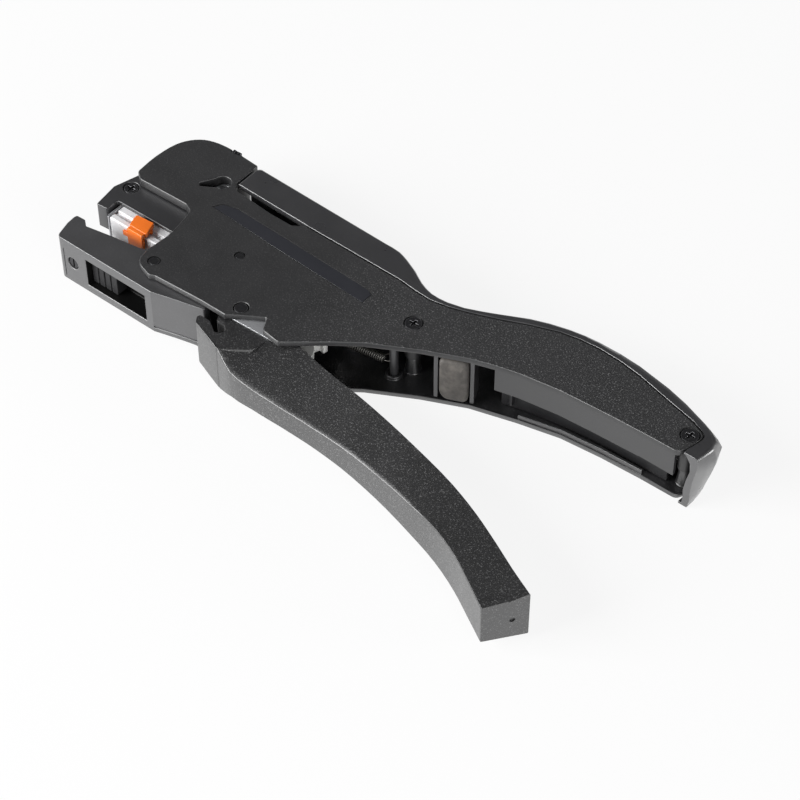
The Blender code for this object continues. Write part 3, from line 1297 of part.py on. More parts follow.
def build():
    """Clears the scene and builds every piece of the tool."""
    for old in list(bpy.data.objects):
        bpy.data.objects.remove(old)

    smooth_black = material("smooth_black_plastic", (0.035, 0.035, 0.038), 0.42)
    texture_black = material("textured_black_plastic", (0.040, 0.040, 0.043), 0.62)
    jaw_black = material("jaw_black_plastic", (0.050, 0.050, 0.053), 0.5)
    white = material("white_plastic", (0.86, 0.87, 0.88), 0.4)
    orange = material("orange_plastic", (0.95, 0.24, 0.03), 0.4)
    steel = material("blank_steel", (0.55, 0.56, 0.58), 0.3, 1.0)
    dark_steel = material("blackened_steel", (0.06, 0.06, 0.065), 0.38, 0.8)
    light_grey = material("light_grey_plastic", (0.55, 0.55, 0.54), 0.5)
    rubber = material("grey_rubber", (0.10, 0.095, 0.088), 0.7)

    handle_joint = joint_empty("handle_joint", spot(HANDLE_PIVOT_SHARE).to_3d())
    jaw_joint = joint_empty("jaw_joint", spot(JAW_PIVOT_SHARE).to_3d())
    stop_joint = joint_empty("stop_joint", spot(STOP_TOP_SHARES[0]).to_3d())
    plunger_joint = joint_empty("plunger_joint", spot(PLUNGER_PIN_SHARE).to_3d())
    link_joint = joint_empty("link_joint", spot(DRIVE_PIN_SHARE).to_3d())
    lever_joint = joint_empty("lever_joint", spot(LEVER_PIN_SHARE).to_3d())

    make_top_cover(texture_black)
    make_bottom_cover(texture_black)
    make_back_shell(smooth_black)
    make_lobe_clip(dark_steel)
    make_cover_screw("handle_screw", HANDLE_SCREW_SHARE, dark_steel)
    make_cover_screw("end_screw", END_SCREW_SHARE, dark_steel)
    make_pin("handle_pivot_pin", HANDLE_PIVOT_SHARE, HANDLE_PIN_RADIUS, dark_steel)
    make_pin("jaw_pivot_pin", JAW_PIVOT_SHARE, JAW_PIN_RADIUS, dark_steel)
    make_dowel(dark_steel)

    make_upper_jaw(smooth_black)
    make_jaw_screw(dark_steel)
    make_clamp_block(white)
    make_upper_blade(steel)
    make_length_stop(orange, stop_joint)

    make_lower_jaw(jaw_black, jaw_joint)
    make_eccentric_screw(dark_steel, jaw_joint)
    make_lower_clamp(smooth_black, jaw_joint)
    finish(lower_blade_block("lower_blade", 0), steel, jaw_joint)

    make_funnel(steel)
    make_anvil(steel)
    make_plunger(steel, plunger_joint)
    make_pin("plunger_pin", PLUNGER_PIN_SHARE, DRIVE_PIN_RADIUS, steel,
             PLUNGER_LOW + PIN_SINK, PLUNGER_HIGH - PIN_SINK, plunger_joint)
    make_push_link(steel, link_joint)
    make_drive_plate("upper_drive_plate", MOVER_HIGH - DRIVE_PLATE, steel, handle_joint)
    make_drive_plate("lower_drive_plate", MOVER_LOW, steel, handle_joint)
    make_pin("drive_pin", DRIVE_PIN_SHARE, DRIVE_PIN_RADIUS, steel,
             MOVER_LOW + PIN_SINK, MOVER_HIGH - PIN_SINK, handle_joint)

    make_moving_handle(texture_black, handle_joint)
    make_cam_hook(light_grey, handle_joint)
    make_opening_spring(steel)

    make_strip_guide(smooth_black)
    make_pin("lever_pin", LEVER_PIN_SHARE, LEVER_PIN_RADIUS, steel,
             COVER_WALL - PIN_SEAT + SEAT_GAP, CORE_HIGH)
    make_feed_lever(light_grey, lever_joint)
    make_pin("spring_post", SPRING_POST_SHARE, POST_RADIUS, smooth_black, CORE_LOW, CORE_HIGH)
    make_return_spring(steel)

    make_inner_wall(smooth_black)
    make_buffer_pad(rubber)
    make_pad_holder(smooth_black)


build()
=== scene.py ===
"""Finishes the ferrule crimping tool and sets it on a pale studio floor.

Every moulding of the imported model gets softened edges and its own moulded, ground or blackened
finish. The springs, the cushion and the label film are surfaces worked out here.
"""

from __future__ import annotations

import logging
import math
from dataclasses import dataclass, field
from enum import Enum

import bmesh
import bpy
import numpy as np
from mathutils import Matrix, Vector
from mathutils.bvhtree import BVHTree
from mathutils.geometry import intersect_point_line


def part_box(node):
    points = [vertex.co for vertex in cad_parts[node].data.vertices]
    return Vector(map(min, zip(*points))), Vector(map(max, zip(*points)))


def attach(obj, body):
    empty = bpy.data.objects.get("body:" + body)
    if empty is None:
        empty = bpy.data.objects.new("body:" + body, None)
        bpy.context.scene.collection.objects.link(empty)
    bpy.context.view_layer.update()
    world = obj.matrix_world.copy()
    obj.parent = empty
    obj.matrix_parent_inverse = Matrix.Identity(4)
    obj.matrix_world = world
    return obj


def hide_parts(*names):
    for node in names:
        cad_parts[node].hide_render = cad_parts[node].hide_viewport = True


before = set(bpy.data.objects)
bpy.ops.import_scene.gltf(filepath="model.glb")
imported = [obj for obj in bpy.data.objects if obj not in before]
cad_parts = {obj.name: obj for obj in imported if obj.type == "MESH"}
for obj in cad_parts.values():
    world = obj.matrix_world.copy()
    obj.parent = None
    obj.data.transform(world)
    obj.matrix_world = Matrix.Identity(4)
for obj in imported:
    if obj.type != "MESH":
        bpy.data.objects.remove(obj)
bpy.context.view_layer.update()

log = logging.getLogger("crimping_tool")

Row = tuple[float, float, float]
Pair = tuple[float, float]
Socket = bpy.types.NodeSocket

# Marks the faces of a round: worn bare metal on blackened steel, a painted highlight on mouldings
WEAR_AND_PAINTED_HIGHLIGHT = "wear_and_painted_highlight"

# Distances and lengths that count as nothing
WELD = 1e-7
TINY = 1e-14

# Shares of a noise field between which a feature rises
# The first pair picks the grains that carry painted glints
PAINTED_GLINT_RISE = (0.56, 0.68)
CLOUDS = (0.3, 0.7)
# The last pair picks the patches on rounded edges: worn metal on blackened steel, a painted
# highlight on mouldings
EDGE_PATCHES = (0.35, 0.65)

# Plastic: the clouds' size and change of sheen, and where the grain grows from the head
CLOUD_SIZE = 0.011
CLOUD_SHEEN = 0.05
HEAD_TO_GRIP = (0.004, 0.034)
HEAD_GRAIN = 0.3
UPWARD = (0.4, 0.9)
# Colour and share of mirror light inside a box of painted shade
PAINTED_SHADE_COLOUR = (0.004, 0.004, 0.004)
PAINTED_SHADE_SHINE = 0.12


class Body(Enum):
    """The bodies of the tool that a piece can ride on."""

    FRAME = "frame"
    HANDLE = "moving_handle"
    JAW = "lower_jaw"
    STOP = "length_stop"
    PLUNGER = "crimp_plunger"
    LINK = "push_link"
    LEVER = "feed_lever"


class Reach(Enum):
    """Where the grain of a moulding lies."""

    ALL_OVER = "all over"
    FROM_HEAD = "grows from the head towards the grip"


# Finishes

@dataclass(frozen=True)
class Finish:
    """A surface finish: its record slot, its colour and how it scatters light."""

    slot: str
    colour: Row
    roughness: float

    def material(self) -> bpy.types.Material:
        """Returns this finish's material, made on its first use."""
        ready = bpy.data.materials.get(self.label())
        if ready:
            return ready
        made = bpy.data.materials.new(self.label())
        made.use_nodes = True
        made.diffuse_color = (*self.colour, 1)
        shader = made.node_tree.nodes["Principled BSDF"]
        shader.inputs["Base Color"].default_value = (*self.colour, 1)
        shader.inputs["Roughness"].default_value = self.roughness
        self.dress(Nodes(made.node_tree), shader)
        return made

    def label(self) -> str:
        """Returns the material's name."""
        return f"{self.slot}_{round(self.colour[0] * 100)}"

    def dress(self, nodes: Nodes, shader: bpy.types.Node) -> None:
        """Adds the finish's own nodes.

        Args:
            nodes: maker of the material's nodes.
            shader: the surface shader to feed.
        """


@dataclass(frozen=True)
class Moulding(Finish):
    """Moulded plastic: a grain with painted glints, faint clouding and painted highlights on
    rounded edges.

    Attributes:
        grain, grain_height: the size of a grain and its rise, in metres.
        painted_glint, painted_edge_highlight: how much paler the painted glints on the grain and
            the painted highlights on rounded edges are.
        cloud: the share by which clouds shift the colour.
        shine, coat: the level of mirror light and the share of clear gloss.
        painted_shade_box: spans on each axis of a box of painted shade, whose colour, mirror light
            and gloss are darkened, or none.
    """

    name: str = ""
    grain: float = 0.0006
    grain_height: float = 0.00001
    painted_glint: float = 0.0
    cloud: float = 0.1
    shine: float = 0.5
    coat: float = 0.0
    painted_edge_highlight: float = 0.0
    reach: Reach = Reach.ALL_OVER
    painted_shade_box: tuple[Pair, ...] = ()

    def label(self) -> str:
        """Returns the material's name."""
        return self.name or super().label()

    def dress(self, nodes: Nodes, shader: bpy.types.Node) -> None:
        """Grain lifts the surface and carries painted glints; clouds shift colour and sheen.

        Args:
            nodes: maker of the material's nodes.
            shader: the surface shader to feed.
        """
        place = nodes.place()
        grain = nodes.noise(place, 1 / self.grain, detail=3, rough=0.6)
        clouds = nodes.noise(place, 1 / CLOUD_SIZE, detail=4, rough=0.55)
        amount = None
        if self.reach is Reach.FROM_HEAD:
            amount = nodes.maths("MULTIPLY", nodes.along_x(place, *HEAD_TO_GRIP), nodes.upward())
        # Painted glints: the highest grains are mixed towards a paler colour
        painted_glints = nodes.ramp(grain, *PAINTED_GLINT_RISE)
        if amount is not None:
            painted_glints = nodes.maths("MULTIPLY", painted_glints, amount)
        pale = tuple(min(1.0, part + self.painted_glint) for part in self.colour)
        dusky = tuple(part * (1 - self.cloud) for part in self.colour)
        bright = tuple(part * (1 + self.cloud) for part in self.colour)
        base = nodes.mix(nodes.ramp(clouds, *CLOUDS), dusky, bright)
        base = nodes.mix(painted_glints, base, pale)
        # Painted highlight: rounded edges turn paler in patches
        if self.painted_edge_highlight:
            wear_and_painted_highlight = tuple(min(1.0, part + self.painted_edge_highlight) for part in self.colour)
            base = nodes.mix(nodes.edge_wear_and_highlight(clouds), base, wear_and_painted_highlight)
        # Painted shade: inside the box the colour goes almost black and the mirror light and gloss
        # drop
        if self.painted_shade_box:
            inside = nodes.within(place, self.painted_shade_box)
            base = nodes.mix(inside, base, PAINTED_SHADE_COLOUR)
            for socket, value in (("Specular IOR Level", self.shine), ("Coat Weight", self.coat)):
                nodes.link(nodes.span(inside, value, PAINTED_SHADE_SHINE * value, 0, 1),
                           shader.inputs[socket])
        nodes.link(base, shader.inputs["Base Color"])
        sheen = nodes.span(clouds, self.roughness - CLOUD_SHEEN, self.roughness + CLOUD_SHEEN)
        nodes.link(sheen, shader.inputs["Roughness"])
        shader.inputs["Specular IOR Level"].default_value = self.shine
        shader.inputs["Coat Weight"].default_value = self.coat
        shader.inputs["Coat Roughness"].default_value = self.roughness
        height = grain if amount is None else nodes.maths("MULTIPLY", grain, amount)
        nodes.link(nodes.bump(height, self.grain_height), shader.inputs["Normal"])


@dataclass(frozen=True)
class GroundSteel(Finish):
    """Steel with fine grinding lines along one axis."""

    lines: Row = (900.0, 9000.0, 9000.0)
    line_height: float = 0.000004
    metal: float = 0.6
    dim: float = 0.72
    sheen: Pair = (-0.08, 0.12)

    def dress(self, nodes: Nodes, shader: bpy.types.Node) -> None:
        """Stretched noise gives the lines and the change of sheen.

        Args:
            nodes: maker of the material's nodes.
            shader: the surface shader to feed.
        """
        shader.inputs["Metallic"].default_value = self.metal
        lines = nodes.noise(nodes.stretched(nodes.place(), self.lines), 1.0, detail=4, rough=0.6)
        dim = tuple(part * self.dim for part in self.colour)
        nodes.link(nodes.mix(lines, dim, self.colour), shader.inputs["Base Color"])
        low, high = self.sheen
        nodes.link(nodes.span(lines, self.roughness + low, self.roughness + high),
                   shader.inputs["Roughness"])
        nodes.link(nodes.bump(lines, self.line_height), shader.inputs["Normal"])


@dataclass(frozen=True)
class BlackOxide(Finish):
    """Blackened steel whose edges are worn brighter."""

    edge: Row = (0.25, 0.25, 0.26)
    metal: float = 0.8
    spots: float = 4200.0
    spot_rise: Pair = (0.35, 0.75)
    spot_height: float = 0.000006
    pale: float = 1.5
    sheen: Pair = (-0.06, 0.1)

    def dress(self, nodes: Nodes, shader: bpy.types.Node) -> None:
        """Fine mottling, with bare metal showing through on the edges.

        Args:
            nodes: maker of the material's nodes.
            shader: the surface shader to feed.
        """
        shader.inputs["Metallic"].default_value = self.metal
        spots = nodes.noise(nodes.place(), self.spots, detail=3, rough=0.6)
        base = nodes.mix(nodes.ramp(spots, *self.spot_rise),
                         self.colour, tuple(part * self.pale for part in self.colour))
        nodes.link(nodes.mix(nodes.edge_wear_and_highlight(spots), base, self.edge),
                   shader.inputs["Base Color"])
        low, high = self.sheen
        nodes.link(nodes.span(spots, self.roughness + low, self.roughness + high),
                   shader.inputs["Roughness"])
        nodes.link(nodes.bump(spots, self.spot_height), shader.inputs["Normal"])


@dataclass(frozen=True)
class Rubber(Finish):
    """Dull rubber with a dusty bloom."""

    bloom: Row = (0.125, 0.114, 0.103)
    bloom_rise: Pair = (0.42, 0.68)
    clouds: float = 240.0
    pits: float = 3800.0
    pit_depth: float = 0.00003

    def dress(self, nodes: Nodes, shader: bpy.types.Node) -> None:
        """Wide clouds of bloom over fine pits.

        Args:
            nodes: maker of the material's nodes.
            shader: the surface shader to feed.
        """
        place = nodes.place()
        clouds = nodes.noise(place, self.clouds, detail=5, rough=0.6)
        pits = nodes.noise(place, self.pits, detail=2, rough=0.5)
        base = nodes.mix(nodes.ramp(clouds, *self.bloom_rise), self.colour, self.bloom)
        nodes.link(base, shader.inputs["Base Color"])
        nodes.link(nodes.bump(pits, self.pit_depth), shader.inputs["Normal"])


@dataclass
class Nodes:
    """Makes linked nodes in one material's tree."""

    tree: bpy.types.NodeTree

    def new(self, kind: str) -> bpy.types.Node:
        """Returns a new node of that kind."""
        return self.tree.nodes.new(kind)

    def link(self, source: Socket, target: Socket) -> None:
        """Joins two sockets."""
        self.tree.links.new(source, target)

    def place(self) -> Socket:
        """Returns the place on the object, in metres."""
        return self.new("ShaderNodeTexCoord").outputs["Object"]

    def axes(self, place: Socket) -> bpy.types.NodeOutputs:
        """Returns a place's three numbers, as sockets named X, Y and Z."""
        parts = self.new("ShaderNodeSeparateXYZ")
        self.link(place, parts.inputs["Vector"])
        return parts.outputs

    def within(self, place: Socket, spans: tuple[Pair, ...], soft: float = 0.0002) -> Socket:
        """Returns 1 inside a box given by its span on each axis, and fades over its soft faces."""
        parts, total = self.axes(place), None
        for axis, (low, high) in zip("XYZ", spans):
            for start, end in ((low - soft, low), (high + soft, high)):
                side = self.span(parts[axis], 0.0, 1.0, start, end)
                total = side if total is None else self.maths("MULTIPLY", total, side)
        return total

    def upward(self) -> Socket:
        """Returns 1 on faces that look up and 0 on upright ones."""
        facing = self.new("ShaderNodeNewGeometry").outputs["Normal"]
        return self.ramp(self.axes(facing)["Z"], *UPWARD)

    def stretched(self, place: Socket, scale: Row) -> Socket:
        """Returns the place with each axis multiplied by its own scale."""
        mapping = self.new("ShaderNodeMapping")
        mapping.inputs["Scale"].default_value = scale
        self.link(place, mapping.inputs["Vector"])
        return mapping.outputs["Vector"]

    def noise(self, place: Socket, scale: float, detail: float, rough: float) -> Socket:
        """Returns a field of noise from 0 to 1 with that many features a metre."""
        node = self.new("ShaderNodeTexNoise")
        node.inputs["Scale"].default_value = scale
        node.inputs["Detail"].default_value = detail
        node.inputs["Roughness"].default_value = rough
        self.link(place, node.inputs["Vector"])
        return node.outputs["Fac"]

    def span(self, value: Socket, low: float, high: float, start: float = 0.25,
             end: float = 0.75) -> Socket:
        """Returns the value carried from start..end to low..high."""
        node = self.new("ShaderNodeMapRange")
        for socket, number in zip(("From Min", "From Max", "To Min", "To Max"),
                                  (start, end, low, high)):
            node.inputs[socket].default_value = number
        self.link(value, node.inputs["Value"])
        return node.outputs["Result"]

    def ramp(self, value: Socket, start: float, end: float) -> Socket:
        """Returns 0 below start, 1 above end and a straight rise between them."""
        return self.span(value, 0.0, 1.0, start, end)

    def along_x(self, place: Socket, start: float, end: float) -> Socket:
        """Returns the head's share of grain, which rises to 1 between two places on X."""
        return self.span(self.axes(place)["X"], HEAD_GRAIN, 1.0, start, end)

    def maths(self, operation: str, first: Socket, second: Socket) -> Socket:
        """Returns the result of one sum on two values."""
        node = self.new("ShaderNodeMath")
        node.operation = operation
        self.link(first, node.inputs[0])
        self.link(second, node.inputs[1])
        return node.outputs["Value"]

    def mix(self, share: Socket, first: Row | Socket, second: Row | Socket) -> Socket:
        """Returns a colour between two, each given as numbers or as a socket."""
        node = self.new("ShaderNodeMix")
        node.data_type = "RGBA"
        self.link(share, node.inputs["Factor"])
        colours = [socket for socket in node.inputs if socket.type == "RGBA"]
        for socket, colour in zip(colours, (first, second)):
            if isinstance(colour, tuple):
                socket.default_value = (*colour, 1)
            else:
                self.link(colour, socket)
        return next(socket for socket in node.outputs if socket.type == "RGBA")

    def edge_wear_and_highlight(self, patches: Socket) -> Socket:
        """Returns 0 on flats and, on rounded edges, a value that follows the patches: a painted
        highlight on mouldings and worn bare metal on blackened steel.
        """
        node = self.new("ShaderNodeAttribute")
        node.attribute_name = WEAR_AND_PAINTED_HIGHLIGHT
        return self.maths("MULTIPLY", node.outputs["Fac"], self.ramp(patches, *EDGE_PATCHES))

    def bump(self, height: Socket, distance: float) -> Socket:
        """Returns a surface direction lifted by the height, in metres."""
        node = self.new("ShaderNodeBump")
        node.inputs["Distance"].default_value = distance
        self.link(height, node.inputs["Height"])
        return node.outputs["Normal"]


SMOOTH_BLACK = Moulding("smooth_black_plastic", (0.028, 0.028, 0.030), 0.38,
                        grain_height=0.000012, painted_glint=0.006, shine=0.8, coat=0.5, painted_edge_highlight=0.05)
BACK_BLACK = Moulding("smooth_black_plastic", (0.030, 0.030, 0.032), 0.30, name="back_black",
                      painted_glint=0.006, shine=1.0, coat=1.0, painted_edge_highlight=0.03)
# A darker copy of the smooth black plastic, as painted shade on parts deep inside
SHADED_SMOOTH_BLACK = Moulding("smooth_black_plastic", (0.012, 0.012, 0.013), 0.5, name="shaded_smooth_black",
                      painted_glint=0.004, shine=0.35, painted_edge_highlight=0.02)
COVER_BLACK = Moulding("textured_black_plastic", (0.0155, 0.0155, 0.0165), 0.44, name="cover_black",
                       grain=0.00045, grain_height=0.00018, painted_glint=0.15, shine=0.8, coat=0.4,
                       reach=Reach.FROM_HEAD)
BASE_BLACK = Moulding("textured_black_plastic", (0.009, 0.009, 0.010), 0.36, name="base_black",
                      grain=0.00045, grain_height=0.00006, painted_glint=0.04, shine=1.0, coat=1.0)
GRIP_BLACK = Moulding("textured_black_plastic", (0.009, 0.009, 0.0095), 0.42, name="grip_black",
                      grain=0.00045, grain_height=0.00011, painted_glint=0.11, shine=0.9, coat=0.8,
                      painted_edge_highlight=0.02)
# Its box is painted shade inside the opening in the jaw's side
JAW_BLACK = Moulding("jaw_black_plastic", (0.036, 0.036, 0.038), 0.40, grain=0.0005,
                     grain_height=0.00002, painted_glint=0.02, shine=1.0, coat=0.8, painted_edge_highlight=0.05,
                     painted_shade_box=((-0.0553, -0.0303), (-0.0102, -0.0039), (0.0054, 0.0161)))
FILM_BLACK = Moulding("smooth_black_plastic", (0.026, 0.027, 0.033), 0.36, name="film_black",
                      grain=0.0009, grain_height=0.000006, cloud=0.05)
WHITE = Moulding("white_plastic", (0.88, 0.88, 0.895), 0.36, grain=0.0008,
                 grain_height=0.000008, cloud=0.03)
ORANGE = Moulding("orange_plastic", (0.95, 0.20, 0.02), 0.34, grain=0.0008,
                  grain_height=0.000008, cloud=0.06)
LIGHT_GREY = Moulding("light_grey_plastic", (0.72, 0.72, 0.70), 0.45, cloud=0.05)
PAD_RUBBER = Rubber("grey_rubber", (0.062, 0.057, 0.052), 0.62)
STEEL = GroundSteel("blank_steel", (0.62, 0.63, 0.65), 0.34)
WIRE = GroundSteel("blank_steel", (0.22, 0.215, 0.20), 0.36, metal=0.9)
OXIDE = BlackOxide("blackened_steel", (0.045, 0.045, 0.048), 0.36)


# Surfaces

def linked(name: str, data: bpy.types.ID) -> bpy.types.Object:
    """Returns a new object of the scene, at the origin, that holds the data."""
    made = bpy.data.objects.new(name, data)
    bpy.context.scene.collection.objects.link(made)
    return made


def surface_object(name: str, points: np.ndarray, faces: np.ndarray) -> bpy.types.Object:
    """Puts computed points and faces into a smooth-shaded object.

    Args:
        name: the new object's name.
        points: an array of N by 3 places.
        faces: an array of M by 3 or 4 point numbers.

    Returns:
        The linked object, at the origin.
    """
    mesh = bpy.data.meshes.new(name)
    mesh.from_pydata(points.reshape(-1, 3).tolist(), [], faces.tolist())
    mesh.validate()
    tidy = bmesh.new()
    tidy.from_mesh(mesh)
    bmesh.ops.remove_doubles(tidy, verts=tidy.verts, dist=WELD)
    bmesh.ops.recalc_face_normals(tidy, faces=tidy.faces)
    tidy.to_mesh(mesh)
    tidy.free()
    mesh.shade_smooth()
    return linked(name, mesh)


def grid_faces(rows: int, columns: int, wrap: bool) -> np.ndarray:
    """Numbers the quads of a grid of points.

    A quad joins point (i, j) to (i+1, j), (i+1, j+1) and (i, j+1).

    Args:
        rows: points along the first parameter.
        columns: points along the second parameter.
        wrap: whether the last column joins the first.

    Returns:
        An array of quads.
    """
    across = columns if wrap else columns - 1
    row, column = np.meshgrid(np.arange(rows - 1), np.arange(across), indexing="ij")
    after = (column + 1) % columns
    quads = np.stack([row * columns + column, row * columns + after,
                      (row + 1) * columns + after, (row + 1) * columns + column], axis=-1)
    return quads.reshape(-1, 4)


def capped(grid: np.ndarray) -> tuple[np.ndarray, np.ndarray]:
    """Closes a tube of points with a fan at each end.

    Args:
        grid: rows by columns by 3 places, whose columns wrap round.

    Returns:
        The points and triangles of the closed tube.
    """
    rows, columns = grid.shape[:2]
    points = np.concatenate([grid.reshape(-1, 3), grid[0].mean(0)[None], grid[-1].mean(0)[None]])
    quads = grid_faces(rows, columns, wrap=True)
    body = np.concatenate([quads[:, [0, 1, 2]], quads[:, [0, 2, 3]]])
    around = np.arange(columns)
    after = (around + 1) % columns
    first = np.stack([after, around, np.full(columns, rows * columns)], axis=-1)
    start = (rows - 1) * columns
    last = np.stack([start + around, start + after, np.full(columns, rows * columns + 1)], axis=-1)
    return points, np.concatenate([body, first, last])


def tube(name: str, path: np.ndarray, outward: np.ndarray, radius: float,
         sides: int = 10) -> bpy.types.Object:
    """Carries a circle along a path.

    A point is the path's place plus radius times (cos v times the outward direction plus sin v
    times the direction square to both it and the path).

    Args:
        name: the new object's name.
        path: N by 3 places.
        outward: N by 3 directions, none along the path.
        radius: the circle's radius.
        sides: points round the circle.

    Returns:
        The closed wire.
    """
    along = np.gradient(path, axis=0)
    along /= np.linalg.norm(along, axis=1, keepdims=True)
    across = outward - (outward * along).sum(1, keepdims=True) * along
    across /= np.linalg.norm(across, axis=1, keepdims=True)
    third = np.cross(along, across)
    turn = np.linspace(0, math.tau, sides, endpoint=False)[None, :, None]
    grid = path[:, None] + radius * (np.cos(turn) * across[:, None] + np.sin(turn) * third[:, None])
    return surface_object(name, *capped(grid))


def settled_normals(mesh: bpy.types.Mesh, crease: float) -> None:
    """Shades each corner by the faces round its point, each weighed by its area.

    A corner's direction is the sum of area times direction over the faces at its point that lie
    within the crease angle of its own face. Wide flats so stay flat, and their rounded edges turn
    from one flat to the next.

    Args:
        mesh: the mesh to shade.
        crease: the angle, in radians, past which a face has no say.
    """
    faces, corners = len(mesh.polygons), len(mesh.loops)
    facing, size = np.empty(faces * 3, np.float32), np.empty(faces, np.float32)
    counts, at = np.empty(faces, np.int32), np.empty(corners, np.int32)
    mesh.polygons.foreach_get("normal", facing)
    mesh.polygons.foreach_get("area", size)
    mesh.polygons.foreach_get("loop_total", counts)
    mesh.loops.foreach_get("vertex_index", at)
    facing = facing.reshape(-1, 3).astype(float)
    owner = np.repeat(np.arange(faces), counts)
    order = np.argsort(at, kind="stable")
    shared = np.bincount(at, minlength=len(mesh.vertices))
    first = np.concatenate([[0], np.cumsum(shared)[:-1]])
    repeats = shared[at]
    corner = np.repeat(np.arange(corners), repeats)
    step = np.arange(len(corner)) - np.repeat(np.cumsum(repeats) - repeats, repeats)
    partner = owner[order[first[at[corner]] + step]]
    near = (facing[owner[corner]] * facing[partner]).sum(1) > math.cos(crease)
    weight = np.where(near, size[partner], 0.0)[:, None]
    total = np.zeros((corners, 3))
    np.add.at(total, corner, weight * facing[partner])
    length = np.linalg.norm(total, axis=1, keepdims=True)
    normals = np.where(length > TINY, total / np.maximum(length, TINY), facing[owner])
    mesh.normals_split_custom_set(normals.tolist())


def step_between(value: np.ndarray, start: float, end: float) -> np.ndarray:
    """Returns a smooth rise from 0 at start to 1 at end, t t (3 - 2 t)."""
    part = np.clip((value - start) / (end - start), 0, 1)
    return part * part * (3 - 2 * part)


@dataclass(frozen=True)
class Softener:
    """Copies packed mouldings and rounds their sharp edges.

    Attributes:
        width: how far a round reaches from its edge, in metres.
        least_turn: the least angle of a sharp edge, in degrees.
        shortest: the shortest edge that is rounded.
        crease: the angle past which a face has no say in the shading, in degrees.
        clear: widths of a round within which an edge is spared near a crossing.
        narrow: the least width of a face beside a round, in widths of the round.
        weld, level: the distance and the turn, in degrees, below which the node's points
            and faces are joined.
    """

    width: float = 0.00022
    steps: int = 2
    least_turn: float = 30.0
    shortest: float = 0.0004
    crease: float = 50.0
    clear: float = 3.0
    tries: int = 5
    narrow: float = 2.2
    weld: float = 2e-6
    level: float = 0.8

    def rounds(self, edge: bmesh.types.BMEdge) -> bool:
        """Returns whether an edge is sharp, long and between faces wide enough to round."""
        if not edge.is_manifold or edge.calc_face_angle(0) < math.radians(self.least_turn):
            return False
        wide = (face.calc_area() / max(side.calc_length() for side in face.edges)
                for face in edge.link_faces)
        return edge.calc_length() > self.shortest and min(wide) > self.narrow * self.width

    def merged(self, node: str) -> bmesh.types.BMesh:
        """Returns a node's mesh with its triangles joined into faces."""
        work = bmesh.new()
        work.from_mesh(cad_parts[node].data)
        bmesh.ops.remove_doubles(work, verts=work.verts, dist=self.weld)
        bmesh.ops.dissolve_limit(work, angle_limit=math.radians(self.level), verts=work.verts,
                                 edges=work.edges)
        work.edges.index_update()
        return work

    def crossings(self, work: bmesh.types.BMesh) -> list[Vector]:
        """Returns the places where two faces that share no corner cross."""
        split = work.copy()
        bmesh.ops.triangulate(split, faces=split.faces)
        for part in (split.verts, split.faces):
            part.index_update()
            part.ensure_lookup_table()
        tree = BVHTree.FromBMesh(split, epsilon=0.0)
        places = []
        for first, second in tree.overlap(tree):
            pair = (split.faces[first], split.faces[second])
            if first < second and not set(pair[0].verts) & set(pair[1].verts):
                small = min(pair, key=lambda face: face.calc_area())
                places.append(small.calc_center_median())
        split.free()
        return places

    def bevelled(self, node: str) -> bmesh.types.BMesh:
        """Rounds a node's sharp edges, and leaves alone those whose rounds would cross."""
        spared: set[int] = set()
        for _ in range(self.tries):
            work = self.merged(node)
            sharp = [edge for edge in work.edges
                     if edge.index not in spared and self.rounds(edge)]
            lines = [(edge.index, *(point.co.copy() for point in edge.verts)) for edge in sharp]
            wear_and_painted_highlight = work.faces.layers.float.new(WEAR_AND_PAINTED_HIGHLIGHT)
            made = bmesh.ops.bevel(work, geom=sharp, offset=self.width, segments=self.steps,
                                   profile=0.5, affect="EDGES", clamp_overlap=False)
            for face in made["faces"]:
                face[wear_and_painted_highlight] = 1.0
            places = self.crossings(work)
            if not places:
                break
            spared |= {index for index, start, end in lines
                       if any(self.apart(place, start, end) < self.clear * self.width
                              for place in places)}
        log.info("%s: %d edges rounded, %d left, %d crossings", node, len(sharp), len(spared),
                 len(places))
        return work

    def apart(self, place: Vector, start: Vector, end: Vector) -> float:
        """Returns the distance from a place to the line between two points."""
        nearest, share = intersect_point_line(place, start, end)
        if not 0 <= share <= 1:
            nearest = start if share < 0 else end
        return (place - nearest).length

    def copy(self, node: str) -> bpy.types.Object:
        """Copies a node and bevels its edges.

        Args:
            node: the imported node's name.

        Returns:
            The softened copy, at the origin.
        """
        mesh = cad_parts[node].data.copy()
        mesh.name = f"{node}_soft"
        work = self.bevelled(node)
        work.to_mesh(mesh)
        work.free()
        for layer in ("custom_normal", "sharp_edge"):
            if layer in mesh.attributes:
                mesh.attributes.remove(mesh.attributes[layer])
        mesh.shade_smooth()
        settled_normals(mesh, math.radians(self.crease))
        return linked(mesh.name, mesh)


COVER_EDGE = Softener(width=0.0003, steps=3)
JAW_EDGE = Softener(width=0.0003)
STOP_EDGE = Softener(width=0.00025, steps=3)
GRIP_EDGE = Softener(width=0.0009, steps=5)
PLATE_EDGE = Softener(width=0.0001)
DRIVE_EDGE = Softener(width=0.00015)
BLADE_EDGE = Softener(width=0.00005, steps=1)
FIXING_EDGE = Softener(width=0.00012, shortest=0.0002)


# Sub-assemblies

